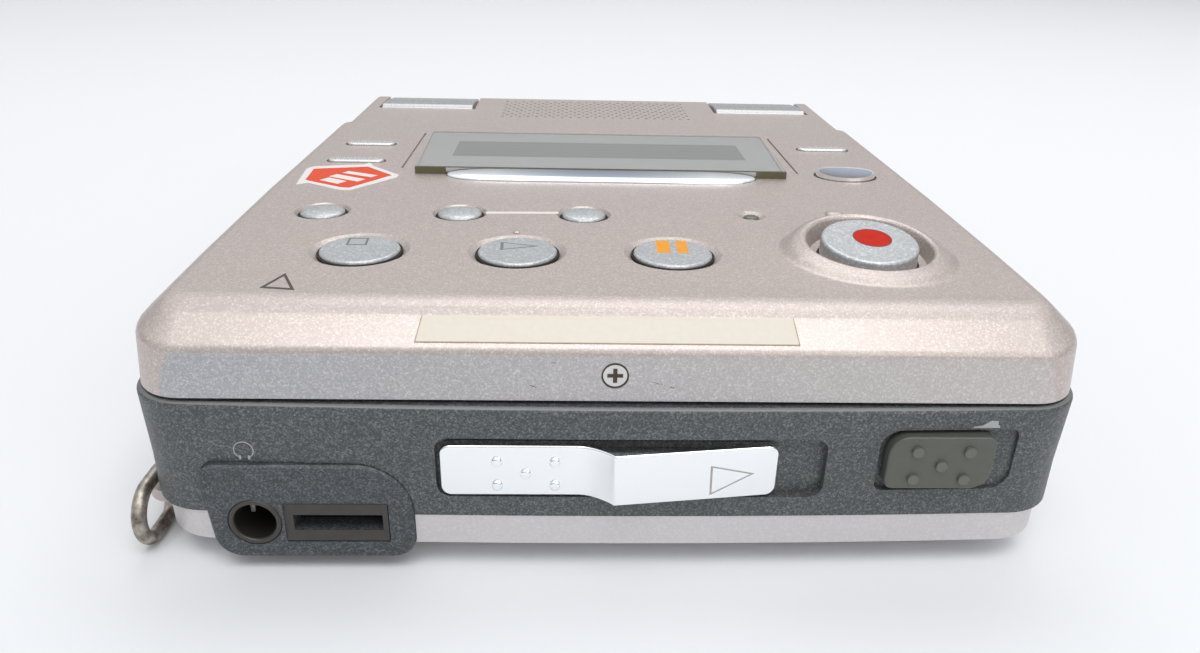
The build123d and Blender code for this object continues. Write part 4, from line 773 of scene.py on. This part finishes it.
display = Finish("display_face", roughness=0.35)
figures_half = 19.8
figures_front, figures_rear = 6.0, 14.6
across_face = display.along("X") * 1000
along_face = display.along("Y") * 1000
between_sides = (across_face > -figures_half) * (across_face < figures_half)
figures = between_sides * (along_face > figures_front) * (along_face < figures_rear)
lines = display.node("ShaderNodeTexWave", {"bands_direction": "Y"},
                     {"Vector": display.place, "Scale": 180, "Distortion": 0.0})
pale_face = display.mix(display.noise(80, 3), (0.56, 0.56, 0.545), (0.62, 0.62, 0.605))
dark_face = display.mix(lines * 0.3, (0.155, 0.16, 0.15), (0.25, 0.25, 0.235))
display.give("Base Color", display.mix(figures * 0.8, pale_face, dark_face))
display.coat("lcd_panel")
face_outline = [(-23.25, -3.65), (23.25, -3.65), (24.25, 19.85), (-24.25, 19.85)]
plate("display_face", face_outline, -0.22, -0.14, on_lid, "lid", display)

bar_half = 19.35
bar_back = -3.75
bar_lip = 0.25
bar_reach = 2.9
bar_height = 0.80
bar_foot = -0.02
sections = []
for i in range(61):
    x = bar_half * math.sin(math.radians(90) * (i - 30) / 30) * 0.9995
    full = math.sqrt(1 - abs(x / bar_half) ** 8)
    height = bar_height * (0.3 + 0.7 * full)
    reach = bar_lip + bar_reach * full
    section = [(x, bar_back, bar_foot)]
    for j in range(12):
        turn = math.radians(90) * j / 12
        section.append((x, bar_back - reach * math.sin(turn), height * math.cos(turn) ** 0.8))
    section.append((x, bar_back - reach, bar_foot))
    sections.append([on_lid(*point) for point in section])
bar_chrome = Finish("bar_chrome", roughness=0.12, metal=1.0)
from_middle = bar_chrome.along("X") * 70
in_middle = 1 - from_middle * from_middle
# painted reflection: the middle of the bar's top is tinted bluish grey, as if mirroring a darker room
painted_reflection_top = (bar_chrome.along("Z") > (TOP + 0.40) * MM) * in_middle.at_least(0.15)
bar_chrome.give("Base Color", bar_chrome.mix(painted_reflection_top, (0.86, 0.88, 0.90), (0.40, 0.45, 0.52)))
bar_piece = skinned("window_bar_round", sections, "lid", bar_chrome)
smoothed(bar_piece, 40)
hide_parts("window_bar")

# painted shade in dark olive: on the window's front edge beside the bar's ends, and in a line above the bar
window_edge_shade = tinted("window_edge_painted_shade", 600, (0.075, 0.072, 0.035), (0.150, 0.140, 0.075), roughness=0.3)
window_half = 23.15
for side, word in ((-1, "left"), (1, "right")):
    inner_end, outer_end = side * bar_half, side * window_half
    end = [(inner_end, -3.80), (outer_end, -3.80), (outer_end, -3.60), (inner_end, -3.60)]
    plate("window_end_shade_" + word, end, 0.0, 0.86, on_lid, "lid", window_edge_shade)
front_line = [(-window_half, -3.64), (window_half, -3.64), (window_half, -3.38), (-window_half, -3.38)]
plate("window_front_shade_line", front_line, 0.80, 0.875, on_lid, "lid", window_edge_shade)


# ---------------------------------------------------------------- microphone covers
# Two caps in bright silver paint stand over the microphones at the rear corners. They fall
# towards the rear, and their upper edges are rounded.

bright_silver = flake_paint("bright_silver_paint", (0.43, 0.43, 0.44), (0.48, 0.48, 0.49),
                            (0.78, 0.78, 0.79), roughness=0.32, metal=0.50, size=0.12, sparkle=0.28)
cover_side = [(37.25, -0.70), (37.25, 0.02), (38.05, 0.50), (41.5, 0.42), (48.0, -0.35), (48.15, -0.70)]
cover_inner, cover_outer = 20.3, 35.3
covers = bmesh.new()
for side in (-1, 1):
    skin(covers, [[on_lid(side * x, y, h) for y, h in cover_side] for x in (cover_inner, cover_outer)])
upper_edges = [e for e in outward(covers).edges if max(v.co.z for v in e.verts) > (TOP - 0.5) * MM]
covers_piece = finished("mic_covers_rounded", eased(covers, upper_edges, 0.25), "lid", bright_silver)
smoothed(covers_piece, 32)
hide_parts("mic_covers")


# ---------------------------------------------------------------- keys
# Turned and moulded caps in silver paint with a coarser flake than the lid's; the oval key is
# satin chrome. The three small round keys are domed. Black rings of painted shadow lie in the
# gaps round them and round the three big ones.

big_keys = {"stop_key": -23.95, "play_key": -8.9, "pause_key": 6.1}
big_key_y = -31.4
small_keys = {"speed_key": -30.5, "review_key": -15.8, "cue_key": -2.4}
small_key_y = -19.5

key_silver = flake_paint("key_silver_paint", (0.395, 0.415, 0.425), (0.46, 0.48, 0.49),
                         (0.97, 0.99, 1.0), roughness=0.36, metal=0.45, size=0.20, sparkle=0.60)
key_silver.coat(*big_keys, *small_keys, "record_key")
slim_silver = flake_paint("slim_key_silver", (0.62, 0.62, 0.62), (0.68, 0.68, 0.68),
                          (0.90, 0.90, 0.90), roughness=0.30, metal=0.50, size=0.12, sparkle=0.30)
slim_silver.coat("slim_key_right", "slim_key_left_rear", "slim_key_left_front")

# the oval key is hollowed: its pale rim starts 0.9 of the way out from its middle; the pale rim
# is a painted highlight and the bluish hollow a painted reflection
oval_x, oval_y = 31.15, -1.9
satin_chrome = Finish("satin_chrome", metal=1.0)
satin_smear = satin_chrome.noise(200, 4)
ovals_across, ovals_along = 267, 357    # how many half widths and half depths make a metre
across_oval = (satin_chrome.along("X") - oval_x * MM) * ovals_across
along_oval = (satin_chrome.along("Y") - oval_y * MM) * ovals_along
# painted highlight on the rim, and a painted bluish reflection in the hollow
rim = (across_oval * across_oval + along_oval * along_oval) > 0.80
hollow_painted_reflection = satin_chrome.mix(satin_smear, (0.50, 0.56, 0.66), (0.62, 0.68, 0.77))
satin_chrome.give("Base Color", satin_chrome.mix(rim, hollow_painted_reflection, (0.95, 0.95, 0.95)))
satin_chrome.give("Roughness", satin_smear * 0.1 + 0.14)
satin_chrome.coat("oval_key")

# painted shadow: black rings sunk in the gaps round the keys
key_gap_shadow = tinted("key_gap_shadow", 900, (0.010, 0.009, 0.008), (0.022, 0.020, 0.018), roughness=0.9)
dome = [(2.33, -0.30), (2.33, -0.10), (2.22, 0.02), (1.9, 0.14), (1.3, 0.25), (0.6, 0.30), (0.1, 0.31)]
for key, x in small_keys.items():
    turned(key + "_cap", dome, on_lid, key, key_silver, (x, small_key_y))
    hoop(key + "_gap_shadow", circle(x, small_key_y, 2.60), circle(x, small_key_y, 2.38), -0.40, -0.30,
         on_lid, "lid", key_gap_shadow)
for key, x in big_keys.items():
    hoop(key + "_gap_shadow", circle(x, big_key_y, 4.04), circle(x, big_key_y, 3.82), -0.30, -0.20,
         on_lid, "lid", key_gap_shadow)


# ---------------------------------------------------------------- key signs
# The square of the stop key and the triangle of the play key are engraved; the shade in their
# grooves is painted as a dark outline. The bars of the pause key and the dot of the record key are
# filled with colour.

def on_key(a, b, h):
    """Places a mark on a big round key, which stands a little above the lid."""
    key_height = 0.1
    return (a * MM, b * MM, (TOP + key_height + h) * MM)


def on_record(a, b, h):
    """Places a mark on the record key's top, which leans forward."""
    key_height = 1.55
    z = TOP + key_height + (b - record_y) * record_lean + h
    return (a * MM, b * MM, z * MM)


# painted shade: the dark outline stands for the shade in the engraved grooves
engraving_shade = tinted("engraving_shade_line", 1500, (0.14, 0.145, 0.15), (0.24, 0.245, 0.25), roughness=0.55, metal=0.3)
sunk_silver = flake_paint("sunk_silver", (0.40, 0.415, 0.42), (0.46, 0.475, 0.48), (0.85, 0.85, 0.85),
                          roughness=0.45, metal=0.4, size=0.15, sparkle=0.3)
square = [(-25.48, -30.60), (-23.48, -30.52), (-23.64, -28.48), (-25.60, -28.52)]
wedge = [(-10.57, -31.45), (-6.83, -30.20), (-10.68, -29.10)]
for word, outline, line_share in (("stop", square, 0.22), ("play", wedge, 0.24)):
    floor = shrunk(outline, line_share)
    hoop(word + "_sign", outline, floor, -0.02, 0.008, on_key, word + "_key", engraving_shade)
    plate(word + "_sign_floor", floor, -0.02, 0.004, on_key, word + "_key", sunk_silver)

orange = tinted("orange_fill", 1500, (0.86, 0.33, 0.030), (0.94, 0.40, 0.050),
                roughness=0.6, Specular_IOR_Level=0.15)
for left, right, word in ((4.66, 6.08, "left"), (6.68, 7.82, "right")):
    stripe = [(left - 0.1, -31.65), (right - 0.2, -31.62), (right - 0.1, -28.15), (left, -28.20)]
    plate("pause_bar_" + word, stripe, -0.02, 0.012, on_key, "pause_key", orange)

dot_x, dot_y = 25.55, -30.85
red_fill = tinted("red_fill", 1200, (0.50, 0.016, 0.007), (0.60, 0.028, 0.012),
                  roughness=0.6, Specular_IOR_Level=0.12)
plate("record_dot", circle(dot_x, dot_y, 1.78), -0.02, 0.012, on_record, "record_key", red_fill)
dark_red = tinted("dark_red_rim", 1200, (0.16, 0.012, 0.008), (0.24, 0.02, 0.012), roughness=0.5)
hoop("record_dot_rim", circle(dot_x, dot_y, 1.88), circle(dot_x, dot_y, 1.76), -0.02, 0.015,
     on_record, "record_key", dark_red)


# ---------------------------------------------------------------- lamp and lid screw
# The lamp is a smoked, domed lens, dark until it is lit. The screw at the lid's front is bright
# steel, coloured dark brown in its cross recess and in the gap round its head.

lamp_smoke = tinted("lamp_lens", 900, (0.055, 0.060, 0.045), (0.090, 0.095, 0.075),
                    roughness=0.15, Coat_Weight=0.5)
lamp_smoke.coat("lamp")
lens_dome = [(0.93, -0.6), (0.93, -0.30), (0.80, -0.13), (0.5, -0.03), (0.15, 0.0)]
turned("lamp_dome", lens_dome, on_lid, "lid", lamp_smoke, (16.0, -19.1), count=32)

bright_steel = Finish("bright_steel", metal=0.9)
recess = -47.3
dark_in_recess = bright_steel.along("Y") > recess * MM
steel_face = bright_steel.mix(bright_steel.noise(700), (0.56, 0.56, 0.54), (0.72, 0.72, 0.70))
bright_steel.give("Base Color", bright_steel.mix(dark_in_recess, steel_face, (0.060, 0.045, 0.032)))
bright_steel.give("Roughness", dark_in_recess * 0.4 + 0.28)
bright_steel.coat("lid_screws")

# dark brown in the gap round the screw's head and in its cross recess
dark_fill = tinted("screw_dark_fill", 4000, (0.022, 0.017, 0.012), (0.095, 0.075, 0.055), detail=3, roughness=0.8)
on_screw = on_front(-47.45)
screw_z = 19.15
hoop("screw_gap", circle(0, screw_z, 1.13), circle(0, screw_z, 1.0), -0.1, 0.008, on_screw, "lid", dark_fill)
arm, half_slot = 0.66, 0.17
quarter = [(arm, half_slot), (half_slot, half_slot), (half_slot, arm)]
cross = []
for _ in range(4):
    cross += quarter
    quarter = [(-b, a) for a, b in quarter]
plate("screw_cross", [(a, screw_z + b) for a, b in cross], -0.1, 0.012, on_screw, "lid", dark_fill)


# ---------------------------------------------------------------- studio
# The object lies on a pale table top under soft light, in a pale room that polished metal
# mirrors. The camera stands where the photograph was taken.

floor_paint = Finish("table_top", roughness=0.75, Specular_IOR_Level=0.2)
# painted light: the table top is paler towards the rear, making up for the lamps' fall-off there
painted_light_to_rear = floor_paint.ramp(floor_paint.along("Y"), -0.09, 0.20)
floor_paint.give("Base Color", floor_paint.mix(painted_light_to_rear, (0.90, 0.915, 0.94), (0.96, 0.96, 0.98)))
slab = bmesh.new()
slab.faces.new([slab.verts.new((x, y, 0)) for x, y in ((-6, -6), (6, -6), (6, 6), (-6, 6))])
table_top = placed("table_top", slab)
floor_paint.coat(table_top)

world = bpy.data.worlds.new("studio")
world.use_nodes = True
bpy.context.scene.world = world
sky = Nodes(world.node_tree)
sky.tree.nodes.remove(sky.tree.nodes["Background"])
# in polished metal the room grows darker from overhead to the horizon
direction = sky.node("ShaderNodeTexCoord", out="Generated")
upward = sky.node("ShaderNodeSeparateXYZ", None, {0: direction}, out="Z")
mirror_light = sky.node("ShaderNodeMapRange", None, {"Value": upward, "To Min": 0.22, "To Max": 1.35})
mirrored = sky.node("ShaderNodeBackground", None, {"Color": (0.96, 0.97, 1.0, 1), "Strength": mirror_light})
lit = sky.node("ShaderNodeBackground", None, {"Color": (0.96, 0.98, 1.0, 1), "Strength": 0.48})
seen = sky.node("ShaderNodeBackground", None, {"Color": (0.89, 0.90, 0.93, 1)})
in_a_mirror = sky.node("ShaderNodeLightPath", out="Is Glossy Ray")
by_camera = sky.node("ShaderNodeLightPath", out="Is Camera Ray")
through_glass = sky.node("ShaderNodeLightPath", out="Is Transmission Ray")
room = sky.node("ShaderNodeMixShader", None, {0: in_a_mirror, 1: lit, 2: mirrored})
around = sky.node("ShaderNodeMixShader", None, {0: by_camera.at_least(through_glass), 1: room, 2: seen})
sky.tree.links.new(around.socket, sky.tree.nodes["World Output"].inputs["Surface"])


def softbox(name, place, target, width, height, power, colour=(1, 1, 1)):
    """A rectangular lamp at a place, facing the target."""
    lamp = bpy.data.lights.new(name, "AREA")
    lamp.shape = "RECTANGLE"
    lamp.size = width
    lamp.size_y = height
    lamp.energy = power
    lamp.color = colour
    stand = bpy.data.objects.new(name, lamp)
    stand.location = place
    stand.rotation_euler = (Vector(target) - Vector(place)).to_track_quat("-Z", "Y").to_euler()
    bpy.context.collection.objects.link(stand)


softbox("top_light", (0.05, -0.38, 0.85), (0, -0.02, 0), 0.75, 0.45, 3.7)
softbox("front_light", (0.5, -0.85, 0.5), (0, 0, 0.01), 0.8, 0.5, 1.6, (1.0, 0.975, 0.94))
softbox("rear_light", (0.1, 0.48, 0.95), (0, 0.03, 0), 0.9, 0.5, 2.6)

camera_place = Vector((-3.727, -112.438, 53.536)) * MM
yaw, pitch, roll = -0.0364, 0.43117, -0.02488    # in radians
ahead = Vector((-math.sin(yaw) * math.cos(pitch), math.cos(yaw) * math.cos(pitch), -math.sin(pitch)))
level_right = Vector((math.cos(yaw), math.sin(yaw), 0))
level_down = ahead.cross(level_right)
right = level_right * math.cos(roll) + level_down * math.sin(roll)
down = level_down * math.cos(roll) - level_right * math.sin(roll)
facing = Matrix((right, -down, -ahead)).transposed()
lens = bpy.data.cameras.new("camera")
lens.lens = 26.70
lens.sensor_width = 36
lens.sensor_fit = "HORIZONTAL"
lens.clip_start = 0.005
lens.clip_end = 20
camera = bpy.data.objects.new("camera", lens)
camera.matrix_world = Matrix.Translation(camera_place) @ facing.to_4x4()
bpy.context.collection.objects.link(camera)
bpy.context.scene.camera = camera
bpy.context.scene.view_settings.view_transform = "Standard"
